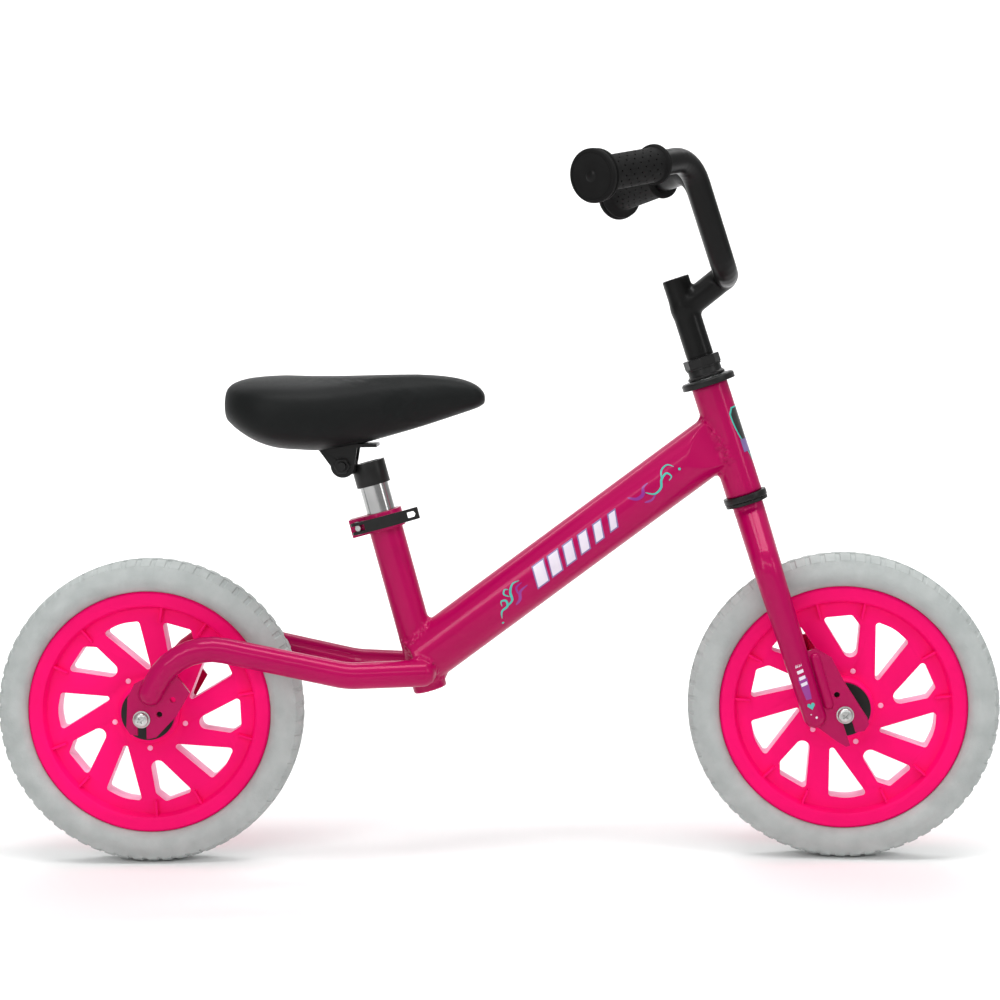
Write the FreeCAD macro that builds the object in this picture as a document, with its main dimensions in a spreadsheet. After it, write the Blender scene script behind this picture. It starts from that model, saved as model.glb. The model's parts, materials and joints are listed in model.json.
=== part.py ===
import FreeCAD, Part
import Sketcher
import math
import os

# A child's balance bike: steel frame, threaded headset, welded bar and stem, moulded wheels.
#
# The origin is on the floor, midway between the two axles. +X points the way the bike rides,
# +Y to the rider's left and +Z up. Lengths are millimetres and angles are degrees.
# The front end is drawn in the steering frame: Z up the steering axis from the bottom of the
# head tube, X forward. It is placed with the bars turned a little to the rider's right.
# The seat is drawn in the seat frame: Z up the seat tube, from the tube's top.

doc = FreeCAD.newDocument("balance_bike")
Vector = FreeCAD.Vector

# ---------------------------------------------------------------- driving dimensions

SIZES = (
    ("wheelbase", 650, "rear axle to front axle"),
    ("wheel_radius", 144, "floor to axle"),
    ("head_angle", 72.5, "steering axis above the floor"),
    ("head_foot_x", 234.3, "bottom of the head tube, forward of the origin"),
    ("head_foot_z", 343, "bottom of the head tube, above the floor"),
    ("fork_rake", 26.7, "front axle ahead of the steering axis"),
    ("fork_drop", 217.1, "front axle below the head tube, along the steering axis"),
    ("steer_turn", 5, "bars turned to the right as the bike stands"),
    ("seat_angle", 75.5, "seat tube above the floor"),
    ("seat_top_x", -104.6, "top of the seat tube"),
    ("seat_top_z", 330, "top of the seat tube, above the floor"),
    ("head_tube_radius", 17, "head tube, outside"),
    ("head_tube_bore", 15.1, "head tube, inside radius"),
    ("head_tube_length", 107, ""),
    ("seat_tube_radius", 15.9, "seat tube, outside"),
    ("seat_tube_bore", 13.65, "seat tube, inside radius, a sliding fit on the post"),
    ("seat_tube_length", 174, ""),
    ("down_tube_radius", 25.4, "down tube, outside"),
    ("tube_wall", 1.5, "wall of the frame's tubes"),
    ("down_low_x", -69, "down tube's centre line at the seat tube"),
    ("down_low_z", 190.5, ""),
    ("down_slope", 36, "down tube above the floor"),
    ("down_length", 365, "before its ends are mitred"),
    ("down_seat_gap", 12, "end of the down tube ahead of the seat tube's axis"),
    ("down_head_gap", 11, "end of the down tube behind the steering axis"),
    ("stay_radius", 12.6, "rear stays, outside"),
    ("stay_bend", 58, "bend radius of the stays"),
    ("stay_front_x", -67, "front end of a stay, beside the seat tube"),
    ("stay_front_y", 23.5, ""),
    ("stay_front_z", 180.5, ""),
    ("stay_middle_x", -135, "where a stay starts to rise and spread"),
    ("stay_middle_y", 42, ""),
    ("stay_middle_z", 181.5, ""),
    ("stay_high_x", -291, "corner above the rear dropout"),
    ("stay_high_y", 49, ""),
    ("stay_high_z", 217, ""),
    ("stay_end_x", -318.5, "rear end of a stay"),
    ("stay_end_y", 47.5, ""),
    ("stay_end_z", 161, ""),
    ("dropout_thickness", 3.5, "dropout plates"),
    ("rear_dropout_y", 45.7, "inner face of a rear dropout"),
    ("front_dropout_y", 41.5, "inner face of a fork dropout"),
    ("eyelet_radius", 2.7, "small holes in the dropouts"),
    ("axle_radius", 4, "wheel axles"),
    ("axle_slot_width", 8.4, "slots in the dropouts"),
    ("cup_flange_radius", 25, "wide flange of the upper headset cup"),
    ("race_radius", 20.4, "lower headset cup"),
    ("steerer_radius", 12.7, "steerer tube, outside"),
    ("steerer_bore", 11.15, "steerer tube, inside radius"),
    ("steerer_top", 133.4, "top of the steerer above the bottom of the head tube"),
    ("crown_top", -9, "top of the fork crown"),
    ("crown_radius", 15.6, "sleeve that the legs are welded to"),
    ("crown_length", 26, ""),
    ("leg_top_radius", 13.4, "fork leg at the crown"),
    ("leg_foot_radius", 10.6, "fork leg at the dropout"),
    ("leg_top_y", 9, "fork leg's centre line at the crown"),
    ("leg_shoulder_y", 42, "where the leg turns down beside the tyre"),
    ("leg_foot_y", 43.2, ""),
    ("leg_foot_z", -221, "foot of the leg below the bottom of the head tube"),
    ("leg_shoulder_z", -64, "height of the leg's shoulder"),
    ("leg_bend", 26, "bend radius of the fork legs"),
    ("quill_radius", 11.1, "stem quill, inside the steerer"),
    ("quill_depth", 48, "quill below the top of the steerer"),
    ("stem_radius", 12.5, "stem above the headset"),
    ("stem_top", 205, "top of the stem above the bottom of the head tube"),
    ("extension_foot", 181, "where the forward tube leaves the stem"),
    ("bar_reach", 45, "middle of the bar ahead of the steering axis"),
    ("bar_foot", 198, "middle of the bar above the bottom of the head tube"),
    ("bar_radius", 11.1, "handlebar tube, outside"),
    ("bar_bend", 36, "bend radius of the bar"),
    ("bar_low_y", 44, "where the bar turns up"),
    ("bar_high_y", 89.5, "where the bar turns out to the grips"),
    ("bar_high_z", 304.5, ""),
    ("bar_end_x", -31, "end of the bar, behind the steering axis"),
    ("bar_end_y", 211, ""),
    ("bar_end_z", 308, ""),
    ("grip_length", 98, ""),
    ("grip_radius", 14.8, "grip between its flanges"),
    ("grip_flange_radius", 23.2, ""),
    ("rim_radius", 114.2, "outside of the moulded wheel"),
    ("rim_half_width", 16, ""),
    ("channel_radius", 106, "floor of the tyre channel"),
    ("channel_half_width", 12, ""),
    ("window_radius", 87, "outside of the spoke windows"),
    ("web_half_width", 10, "spokes"),
    ("hub_half_width", 19, ""),
    ("hub_outer_radius", 29, "boss that the spokes run out from"),
    ("bearing_radius", 11, "608 ball bearing, outside"),
    ("bearing_width", 7, ""),
    ("boss_circle", 35, "ring of small through holes"),
    ("boss_hole_radius", 2.4, ""),
    ("rear_wheel_phase", -22, "rear wheel turned on its axle as the bike stands"),
    ("tyre_half_width", 23.5, ""),
    ("cover_radius", 25, "black disc over the hub"),
    ("cover_thickness", 3.2, ""),
    ("post_radius", 13.6, "seat post, outside"),
    ("post_wall", 1.6, ""),
    ("post_top", 48, "top of the post above the seat tube"),
    ("post_depth", 130, "post inside the seat tube"),
    ("collar_radius", 19.2, "seat clamp collar, outside"),
    ("collar_height", 17, ""),
    ("collar_ear_reach", 31, "end of the collar's ears behind the seat tube's axis"),
    ("collar_ear_y", 10.5, "outer faces of the ears"),
    ("skewer_back", 23, "clamp skewer behind the seat tube's axis"),
    ("skewer_down", 8.5, "clamp skewer below the top of the seat tube"),
    ("skewer_radius", 2.5, ""),
    ("lever_pin_y", 17.5, "lever's pin, to the right of the mid-plane"),
    ("lever_pin_radius", 2, ""),
    ("tilt_bolt_radius", 4, "bolt that the saddle tilts on"),
    ("tilt_back", 21.6, "tilt bolt behind the seat post's axis"),
    ("tilt_up", 51, "tilt bolt above the top of the seat tube"),
    ("bracket_rise", 17, "underside of the saddle's bracket above the tilt bolt"),
    ("saddle_rear_x", -248, ""),
    ("saddle_nose_x", -4.5, ""),
    ("saddle_half_width", 74, ""),
    ("saddle_top_z", 457, ""),
)

sheet = doc.addObject("Spreadsheet::Sheet", "Sizes")
for row, (name, value, meaning) in enumerate(SIZES, start=1):
    sheet.set(f"A{row}", name)
    sheet.set(f"B{row}", str(value))
    sheet.set(f"C{row}", meaning)
    sheet.setAlias(f"B{row}", name)
doc.recompute()


def size(name):
    """A driving dimension, read back from the sheet."""
    return float(sheet.get(name))


# ---------------------------------------------------------------- frames, as expressions

WORLD = "placement(vector(0; 0; 0); rotation(vector(0; 0; 1); 0))"
HEAD = ("placement(vector(Sizes.head_foot_x; 0; Sizes.head_foot_z); "
        "rotation(vector(0; 1; 0); Sizes.head_angle - 90))")
STEER = HEAD + " * placement(vector(0; 0; 0); rotation(vector(0; 0; 1); -Sizes.steer_turn))"
SEAT = ("placement(vector(Sizes.seat_top_x; 0; Sizes.seat_top_z); "
        "rotation(vector(0; 1; 0); Sizes.seat_angle - 90))")
TILT = (f"{SEAT} * placement(vector(-Sizes.tilt_back; 0; Sizes.tilt_up); "
        "rotation(vector(0; 1; 0); 90 - Sizes.seat_angle))")
ON_EDGE = "rotation(vector(1; 0; 0); 90)"
REAR_AXLE = f"placement(vector(-Sizes.wheelbase / 2; 0; Sizes.wheel_radius); {ON_EDGE})"
FRONT_AXLE = f"{STEER} * placement(vector(Sizes.fork_rake; 0; -Sizes.fork_drop); {ON_EDGE})"
REAR_WHEEL = (f"{REAR_AXLE} * placement(vector(0; 0; 0); "
              "rotation(vector(0; 0; 1); Sizes.rear_wheel_phase))")
# A wheel's spokes keep their angle to the floor, so the front wheel is turned back upright.
FRONT_WHEEL = (f"{FRONT_AXLE} * placement(vector(0; 0; 0); "
               "rotation(vector(0; 0; 1); Sizes.head_angle - 90))")


def at(x=0, y=0, z=0, axis="0; 0; 1", turn=0):
    """A place inside a frame, written as an expression."""
    return f"placement(vector({x}; {y}; {z}); rotation(vector({axis}); {turn}))"


# ---------------------------------------------------------------- solids

pieces = []


def piece(feature, label, frame=None):
    """Marks a finished feature as one sub-part with its own name and place."""
    feature.Label = label
    if frame:
        feature.setExpression("Placement", frame)
    pieces.append(feature)
    return feature


def cylinder(name, radius, height, place=None):
    solid = doc.addObject("Part::Cylinder", name)
    solid.setExpression("Radius", radius)
    solid.setExpression("Height", height)
    if place:
        solid.setExpression("Placement", place)
    return solid


def cone(name, low_radius, high_radius, height, place=None):
    solid = doc.addObject("Part::Cone", name)
    solid.setExpression("Radius1", low_radius)
    solid.setExpression("Radius2", high_radius)
    solid.setExpression("Height", height)
    if place:
        solid.setExpression("Placement", place)
    return solid


def ring(name, major, minor, place=None):
    solid = doc.addObject("Part::Torus", name)
    solid.setExpression("Radius1", major)
    solid.setExpression("Radius2", minor)
    if place:
        solid.setExpression("Placement", place)
    return solid


def block(name, length, width, height, place):
    """A box with its middle on the place's X axis, standing on its XY plane."""
    solid = doc.addObject("Part::Box", name)
    solid.setExpression("Length", length)
    solid.setExpression("Width", width)
    solid.setExpression("Height", height)
    solid.setExpression("Placement", f"{place} * {at(0, f'-({width}) / 2')}")
    return solid


def cut(name, base, *tools):
    """The base with every tool taken away."""
    for number, tool in enumerate(tools, start=1):
        result = doc.addObject("Part::Cut", f"{name}_cut_{number}")
        result.Base = base
        result.Tool = tool
        base = result
    return base


def fuse(name, *solids):
    result = doc.addObject("Part::MultiFuse", f"{name}_fused")
    result.Shapes = list(solids)
    return result


def pair(name, right, left):
    """Two like pieces in one node."""
    result = doc.addObject("Part::Compound", f"{name}_pair")
    result.Links = [right, left]
    return result


def tube(name, radius, bore, height, place=None):
    """A round tube along Z."""
    outside = cylinder(f"{name}_outside", radius, height, place)
    inside = cylinder(f"{name}_inside", bore, f"{height} + 2",
                      f"{place} * {at(0, 0, -1)}" if place else at(0, 0, -1))
    return cut(f"{name}_tube", outside, inside)


# ---------------------------------------------------------------- sketches

def new_body(name):
    return doc.addObject("PartDesign::Body", name)


def new_sketch(body, name, plane):
    """A sketch on one of the body's own origin planes."""
    sketch = body.newObject("Sketcher::SketchObject", name)
    support = [item for item in body.Origin.OriginFeatures if item.Role == plane][0]
    sketch.AttachmentSupport = [(support, "")]
    sketch.MapMode = "FlatFace"
    return sketch


def value_of(expression):
    """The number that a sheet expression stands for."""
    known = {name: size(name) for name, _, _ in SIZES}
    text = str(expression)
    for name in sorted(known, key=len, reverse=True):
        text = text.replace(f"Sizes.{name}", f"({known[name]})")
    return FreeCAD.Units.Quantity(text).Value if text else 0.0


def outline(sketch, corners):
    """A closed outline whose corners are bound to the sheet."""
    first = sketch.GeometryCount
    count = len(corners)
    points = [Vector(value_of(x), value_of(y), 0) for x, y in corners]
    for number in range(count):
        sketch.addGeometry(Part.LineSegment(points[number], points[(number + 1) % count]), False)
    for number in range(count):
        following = first + (number + 1) % count
        sketch.addConstraint(Sketcher.Constraint("Coincident", first + number, 2, following, 1))
    for number, (x, y) in enumerate(corners):
        for kind, expression, value in (("DistanceX", x, points[number].x),
                                        ("DistanceY", y, points[number].y)):
            added = sketch.addConstraint(
                Sketcher.Constraint(kind, -1, 1, first + number, 1, value))
            if "Sizes" in str(expression):
                sketch.setExpression(f"Constraints[{added}]", str(expression))


def circle(sketch, x, y, radius):
    """A circle whose centre and radius are bound to the sheet."""
    centre = Vector(value_of(x), value_of(y), 0)
    number = sketch.addGeometry(Part.Circle(centre, Vector(0, 0, 1), value_of(radius)), False)
    bound = (
        (Sketcher.Constraint("DistanceX", -1, 1, number, 3, centre.x), x),
        (Sketcher.Constraint("DistanceY", -1, 1, number, 3, centre.y), y),
        (Sketcher.Constraint("Radius", number, value_of(radius)), radius),
    )
    for constraint, expression in bound:
        added = sketch.addConstraint(constraint)
        if "Sizes" in str(expression):
            sketch.setExpression(f"Constraints[{added}]", str(expression))


def pad(body, sketch, length, name, both_ways=False):
    feature = body.newObject("PartDesign::Pad", name)
    feature.Profile = sketch
    feature.setExpression("Length", length)
    feature.Midplane = both_ways
    return feature


def pocket_through(body, sketch, name):
    """A pocket right through the body, both ways from its sketch."""
    feature = body.newObject("PartDesign::Pocket", name)
    feature.Profile = sketch
    feature.Type = "ThroughAll"
    feature.Midplane = True
    return feature


def revolve(body, sketch, name):
    """The outline turned round the sketch's own vertical axis."""
    feature = body.newObject("PartDesign::Revolution", name)
    feature.Profile = sketch
    feature.ReferenceAxis = (sketch, ["V_Axis"])
    feature.Angle = 360
    return feature


def turned(name, corners):
    """A turned body: a half section in X and Z, spun round Z."""
    body = new_body(name)
    section = new_sketch(body, f"{name}_section", "XZ_Plane")
    outline(section, corners)
    revolve(body, section, f"{name}_turn")
    return body


# ---------------------------------------------------------------- bent tubes

def route(points, bend):
    """A wire of straight runs joined by tangent arcs of the bend radius."""
    edges = []
    start = points[0]
    for before, corner, after in zip(points, points[1:], points[2:]):
        arriving = (corner - before).normalize()
        leaving = (after - corner).normalize()
        half_turn = arriving.getAngle(leaving) / 2
        reach = bend * math.tan(half_turn)
        first = corner - arriving * reach
        last = corner + leaving * reach
        inward = (leaving - arriving).normalize()
        middle = corner + inward * (bend / math.cos(half_turn) - bend)
        edges.append(Part.LineSegment(start, first).toShape())
        edges.append(Part.Arc(first, middle, last).toShape())
        start = last
    edges.append(Part.LineSegment(start, points[-1]).toShape())
    return Part.Wire(edges)


def swept(points, bend, first_radius, last_radius=None):
    """A solid rod along the route, tapering where a second radius is given."""
    path = route(points, bend)
    last_radius = last_radius or first_radius
    ends = ((points[0], points[1] - points[0], first_radius),
            (points[-1], points[-1] - points[-2], last_radius))
    pipe = Part.BRepOffsetAPI.MakePipeShell(path)
    for centre, direction, radius in ends:
        pipe.add(Part.Wire(Part.makeCircle(radius, centre, direction)))
    pipe.build()
    pipe.makeSolid()
    return pipe.shape()


def shape_piece(label, shape, frame):
    """A sub-part from a ready shape, placed after its shape is set."""
    feature = doc.addObject("Part::Feature", label)
    feature.Shape = shape
    return piece(feature, label, frame)


# ---------------------------------------------------------------- frame tubes

def seat_tube_solid(name, extra=0):
    """The outside of the seat tube, for mitring what is welded to it."""
    return cylinder(name, "Sizes.seat_tube_radius", f"Sizes.seat_tube_length + {extra}",
                    f"{SEAT} * {at(0, 0, f'-Sizes.seat_tube_length - {extra} / 2')}")


def make_head_tube():
    body = tube("head", "Sizes.head_tube_radius", "Sizes.head_tube_bore",
                "Sizes.head_tube_length")
    piece(body, "head_tube", HEAD)


def make_seat_tube():
    body = tube("seat", "Sizes.seat_tube_radius", "Sizes.seat_tube_bore",
                "Sizes.seat_tube_length", at(0, 0, "-Sizes.seat_tube_length"))
    slot = block("seat_tube_slot", "Sizes.seat_tube_radius + 5", "2.4", "26",
                 at("-Sizes.seat_tube_radius - 5", 0, -25))
    piece(cut("seat_tube_slotted", body, slot), "seat_tube", SEAT)


def make_down_tube():
    lie = (f"{at('Sizes.down_low_x', 0, 'Sizes.down_low_z')} * "
           f"{at(0, 0, 0, '0; 1; 0', '90 - Sizes.down_slope')}")
    outside = cylinder("down_outside", "Sizes.down_tube_radius", "Sizes.down_length",
                       f"{lie} * {at(0, 0, -30)}")
    inside = cylinder("down_inside", "Sizes.down_tube_radius - Sizes.tube_wall",
                      "Sizes.down_length", f"{lie} * {at(0, 0, -30)}")
    ends = {}
    for skin, depth in (("outer", "0"), ("inner", "2")):
        ends[skin] = (
            block(f"down_{skin}_seat_end", "100", "100", "200",
                  f"{SEAT} * {at(f'Sizes.down_seat_gap + {depth} - 100', 0, -250)}"),
            block(f"down_{skin}_head_end", "100", "100", "200",
                  f"{HEAD} * {at(f'-Sizes.down_head_gap - {depth}', 0, -50)}"),
        )
    hollow = cut("down_hollow", inside, *ends["inner"])
    head_solid = cylinder("down_head_mitre", "Sizes.head_tube_radius",
                          "Sizes.head_tube_length", HEAD)
    body = cut("down", outside, *ends["outer"], seat_tube_solid("down_seat_mitre", 60),
               head_solid, hollow)
    piece(body, "down_tube")


def stay_points(side):
    names = ("front", "middle", "high", "end")
    return [Vector(size(f"stay_{name}_x"), side * size(f"stay_{name}_y"), size(f"stay_{name}_z"))
            for name in names]


def make_stay(label, side):
    """A stay: welded to the side of the seat tube, bowed past the tyre, down to its dropout."""
    points = stay_points(side)
    outer = swept(points, size("stay_bend"), size("stay_radius"), size("stay_radius") - 1.2)
    inner = swept(points, size("stay_bend"), size("stay_radius") - size("tube_wall"),
                  size("stay_radius") - 1.2 - size("tube_wall"))
    nose = Part.makeSphere(size("stay_radius"), points[0])
    lean = math.radians(90 - size("seat_angle"))
    up = Vector(-math.sin(lean), 0, math.cos(lean))
    top = Vector(size("seat_top_x"), 0, size("seat_top_z"))
    mitre = Part.makeCylinder(size("seat_tube_radius"), size("seat_tube_length") + 40,
                              top - up * (size("seat_tube_length") + 20), up)
    face = size("rear_dropout_y")
    plate = Part.makeBox(80, size("dropout_thickness"), 90,
                         Vector(-360, min(side * face, side * (face + size("dropout_thickness"))),
                                100))
    shape = outer.fuse(nose).removeSplitter().cut(inner).cut(mitre).cut(plate)
    solids = sorted(shape.Solids, key=lambda solid: solid.Volume)
    return solids, label


def make_stays():
    for side, label in ((-1, "right_stay"), (1, "left_stay")):
        solids, name = make_stay(label, side)
        shape_piece(name, Part.makeCompound(solids) if len(solids) > 1 else solids[0], WORLD)


# ---------------------------------------------------------------- dropouts

def axle_slot(body, label):
    """A round-ended slot for the axle, open at the bottom of the plate."""
    half = "Sizes.axle_slot_width / 2"
    seat = new_sketch(body, f"{label}_axle_seat", "XZ_Plane")
    circle(seat, 0, 0, half)
    pocket_through(body, seat, f"{label}_axle_hole")
    mouth = new_sketch(body, f"{label}_mouth", "XZ_Plane")
    outline(mouth, ((f"-{half}", 0), (f"-{half}", -40), (half, -40), (half, 0)))
    pocket_through(body, mouth, f"{label}_axle_slot")


def make_rear_dropout(label, side):
    """A flat plate with an axle slot that opens downwards and two eyelets."""
    body = new_body(f"{label}_body")
    plate = new_sketch(body, f"{label}_plate", "XZ_Plane")
    outline(plate, (
        (-5, -15), (-11, -14), (-14.5, -8), (-12.5, 20), (-6, 33), (20, 46), (33, 41), (45, 24.5),
        (31.5, 2), (13, -17), (5, -18.5),
    ))
    pad(body, plate, "Sizes.dropout_thickness", f"{label}_pad")
    doc.recompute()
    holes = new_sketch(body, f"{label}_holes", "XZ_Plane")
    circle(holes, 29.2, 18, "Sizes.eyelet_radius")
    circle(holes, 16.5, 4.5, "Sizes.eyelet_radius")
    pocket_through(body, holes, f"{label}_eyelets")
    axle_slot(body, label)
    inner = "Sizes.rear_dropout_y"
    y = f"-{inner}" if side < 0 else f"{inner} + Sizes.dropout_thickness"
    piece(body, label, at("-Sizes.wheelbase / 2", y, "Sizes.wheel_radius"))


def make_fork_dropout(label, side):
    """A pressed plate ahead of the leg, with a slot for the axle, an eyelet and a rib."""
    body = new_body(f"{label}_body")
    plate = new_sketch(body, f"{label}_plate", "XZ_Plane")
    outline(plate, (
        (-1.2, -29), (-8, -28.5), (-14, -22), (-27, -4), (-30, 8), (-26.7, 30), (-24, 66),
        (-7, 66.5), (4, 54), (8.5, 29), (18.5, -9), (18, -15), (12, -19.5), (3, -18),
    ))
    pad(body, plate, "Sizes.dropout_thickness", f"{label}_pad")
    doc.recompute()
    holes = new_sketch(body, f"{label}_hole", "XZ_Plane")
    circle(holes, -1.6, 20, "Sizes.eyelet_radius")
    pocket_through(body, holes, f"{label}_eyelet")
    axle_slot(body, label)
    inner = "Sizes.front_dropout_y"
    y = f"-{inner}" if side < 0 else f"{inner} + Sizes.dropout_thickness"
    piece(body, label, f"{STEER} * {at('Sizes.fork_rake', y, '-Sizes.fork_drop')}")


# ---------------------------------------------------------------- headset

def make_headset():
    """Cups pressed in the head tube, ball rings, and the races and nut on the steerer."""
    top = "Sizes.head_tube_length"
    bore = "Sizes.head_tube_bore"
    upper = turned("upper_cup_body", (
        ("13.4", f"{top} - 10"), (bore, f"{top} - 10"), (bore, top),
        ("Sizes.cup_flange_radius", top), ("Sizes.cup_flange_radius", f"{top} + 5"),
        ("Sizes.cup_flange_radius - 1.5", f"{top} + 6.5"), ("18.4", f"{top} + 6.5"),
        ("18.4", f"{top} + 3"), ("13.4", f"{top} + 3"),
    ))
    piece(upper, "upper_cup", HEAD)
    lower = turned("lower_cup_body", (
        ("13.4", "10"), ("13.4", "-1.6"), ("18.4", "-1.6"), ("18.4", "-5.6"),
        ("Sizes.race_radius", "-5.6"), ("Sizes.race_radius", "0"), (bore, "0"), (bore, "10"),
    ))
    piece(lower, "lower_cup", HEAD)
    piece(ring("upper_balls", "16", "1.9", at(0, 0, f"{top} + 5.2")),
          "upper_ball_ring", f"{STEER} * {at(0, 0, f'{top} + 5.2')}")
    piece(ring("lower_balls", "16", "1.9"), "lower_ball_ring", f"{STEER} * {at(0, 0, -3.8)}")
    screw = "Sizes.steerer_radius"
    crown_race = turned("crown_race_body", (
        (screw, "Sizes.crown_top"), ("Sizes.race_radius - 0.5", "Sizes.crown_top"),
        ("Sizes.race_radius - 0.5", "-6.2"), (screw, "-6.2"),
    ))
    piece(crown_race, "crown_race", STEER)
    race = turned("adjusting_race_body", (
        (screw, f"{top} + 7.4"), ("17.6", f"{top} + 7.4"), ("17.6", f"{top} + 9.5"),
        ("15.6", f"{top} + 11"), ("15.6", f"{top} + 16.4"), (screw, f"{top} + 16.4"),
    ))
    piece(race, "adjusting_race", STEER)
    washer = turned("lock_washer_body", (
        (screw, f"{top} + 16.4"), ("16.6", f"{top} + 16.4"), ("16.6", f"{top} + 18"),
        (screw, f"{top} + 18"),
    ))
    piece(washer, "lock_washer", STEER)
    nut = doc.addObject("Part::Prism", "locknut_hexagon")
    nut.Polygon = 8
    nut.setExpression("Circumradius", "17.2")
    nut.setExpression("Height", "Sizes.steerer_top - Sizes.head_tube_length - 18")
    nut.setExpression("Placement", at(0, 0, f"{top} + 18"))
    thread = cylinder("locknut_thread", screw, "20", at(0, 0, f"{top} + 15"))
    piece(cut("locknut", nut, thread), "headset_locknut", STEER)


# ---------------------------------------------------------------- fork

def make_steerer():
    body = tube("steerer", "Sizes.steerer_radius", "Sizes.steerer_bore",
                "Sizes.steerer_top - Sizes.crown_top", at(0, 0, "Sizes.crown_top"))
    piece(body, "steerer_tube", STEER)


def make_crown():
    """A short closed sleeve under the crown race."""
    sleeve = cylinder("crown_sleeve", "Sizes.crown_radius", "Sizes.crown_length")
    piece(sleeve, "fork_crown",
          f"{STEER} * {at(0, 0, 'Sizes.crown_top - Sizes.crown_length')}")


def make_fork_leg(label, side):
    """A tapering leg from the crown, out over the tyre's shoulder and down to the dropout."""
    top = Vector(0, side * size("leg_top_y"), size("crown_top") - 5)
    neck = Vector(0, side * size("leg_top_y"), size("crown_top") - 14)
    shoulder = Vector(0, side * size("leg_shoulder_y"), size("leg_shoulder_z"))
    foot = Vector(0, side * size("leg_foot_y"), size("leg_foot_z"))
    points = [top, neck, shoulder, foot]
    outer = swept(points, size("leg_bend") / 2, size("leg_top_radius"), size("leg_foot_radius"))
    inner = swept(points, size("leg_bend") / 2, size("leg_top_radius") - 2,
                  size("leg_foot_radius") - 2)
    sleeve = Part.makeCylinder(size("crown_radius"), size("crown_length") + 20,
                               Vector(0, 0, size("crown_top") - size("crown_length")))
    middle = Part.makeBox(80, 40, 200, Vector(-40, 0 if side < 0 else -40, -200))
    face = size("front_dropout_y")
    plate = Part.makeBox(60, size("dropout_thickness"), 90,
                         Vector(-30, min(side * face, side * (face + size("dropout_thickness"))),
                                -240))
    shape = outer.cut(middle).cut(sleeve).cut(inner).cut(plate)
    solids = sorted(shape.Solids, key=lambda solid: -solid.Volume)
    kept = [solid for solid in solids if solid.Volume > solids[0].Volume * 0.02]
    shape_piece(label, Part.makeCompound(kept) if len(kept) > 1 else kept[0], STEER)


# ---------------------------------------------------------------- stem and handlebar

def make_stem():
    """A quill in the steerer, a thicker stem above it and a tube forward to the bar."""
    shoulder = "Sizes.steerer_top + 0.4"
    quill = turned("stem_body", (
        ("5", "Sizes.steerer_top - Sizes.quill_depth"),
        ("Sizes.quill_radius", "Sizes.steerer_top - Sizes.quill_depth"),
        ("Sizes.quill_radius", shoulder), ("Sizes.stem_radius", shoulder),
        ("Sizes.stem_radius", "Sizes.stem_top - 2"), ("Sizes.stem_radius - 2", "Sizes.stem_top"),
        ("5", "Sizes.stem_top"),
    ))
    piece(quill, "stem_quill", STEER)
    rise = size("bar_foot") - size("extension_foot")
    foot = Vector(0, 0, size("extension_foot"))
    reach = Vector(size("bar_reach"), 0, rise)
    rod = Part.makeCylinder(size("stem_radius") - 0.3, reach.Length, foot, reach)
    core = Part.makeCylinder(size("stem_radius") - 2.3, reach.Length, foot, reach)
    quill_outside = Part.makeCylinder(size("stem_radius"), 80, Vector(0, 0, 140))
    bar = Part.makeCylinder(size("bar_radius"), 80, Vector(size("bar_reach"), -40,
                                                           size("bar_foot")), Vector(0, 1, 0))
    shape = rod.cut(core).cut(quill_outside).cut(bar)
    shape = max(shape.Solids, key=lambda solid: solid.Volume)
    shape_piece("stem_extension", shape, STEER)
    shank = cylinder("stem_bolt_shank", "3.9", "Sizes.stem_top - Sizes.steerer_top + 70",
                     at(0, 0, "Sizes.steerer_top - 70"))
    head = cylinder("stem_bolt_head", "7", "5", at(0, 0, "Sizes.stem_top"))
    socket = doc.addObject("Part::Prism", "stem_bolt_socket")
    socket.Polygon = 6
    socket.Circumradius = 3.4
    socket.Height = 6
    socket.setExpression("Placement", at(0, 0, "Sizes.stem_top + 1.5"))
    piece(cut("stem_bolt", fuse("stem_bolt", shank, head), socket), "stem_bolt", STEER)
    wedge = turned("expander_body", (
        ("3.9", "Sizes.steerer_top - Sizes.quill_depth - 20"),
        ("Sizes.quill_radius - 0.1", "Sizes.steerer_top - Sizes.quill_depth - 20"),
        ("Sizes.quill_radius - 0.1", "Sizes.steerer_top - Sizes.quill_depth - 3"),
        ("5", "Sizes.steerer_top - Sizes.quill_depth"),
        ("3.9", "Sizes.steerer_top - Sizes.quill_depth"),
    ))
    piece(wedge, "expander_wedge", STEER)


def bar_points(side):
    """Half of the bar, from its middle out to one end."""
    reach = size("bar_reach")
    return [Vector(reach, 0, size("bar_foot")),
            Vector(reach, side * size("bar_low_y"), size("bar_foot")),
            Vector(reach, side * size("bar_high_y"), size("bar_high_z")),
            Vector(size("bar_end_x"), side * size("bar_end_y"), size("bar_end_z"))]


def make_handlebar():
    """One tube: a flat middle, two risers and two grips swept back."""
    points = list(reversed(bar_points(-1)))[:-1] + bar_points(1)[1:]
    outer = swept(points, size("bar_bend"), size("bar_radius"))
    inner = swept(points, size("bar_bend"), size("bar_radius") - 1.6)
    shape_piece("handlebar", outer.cut(inner), STEER)


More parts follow.
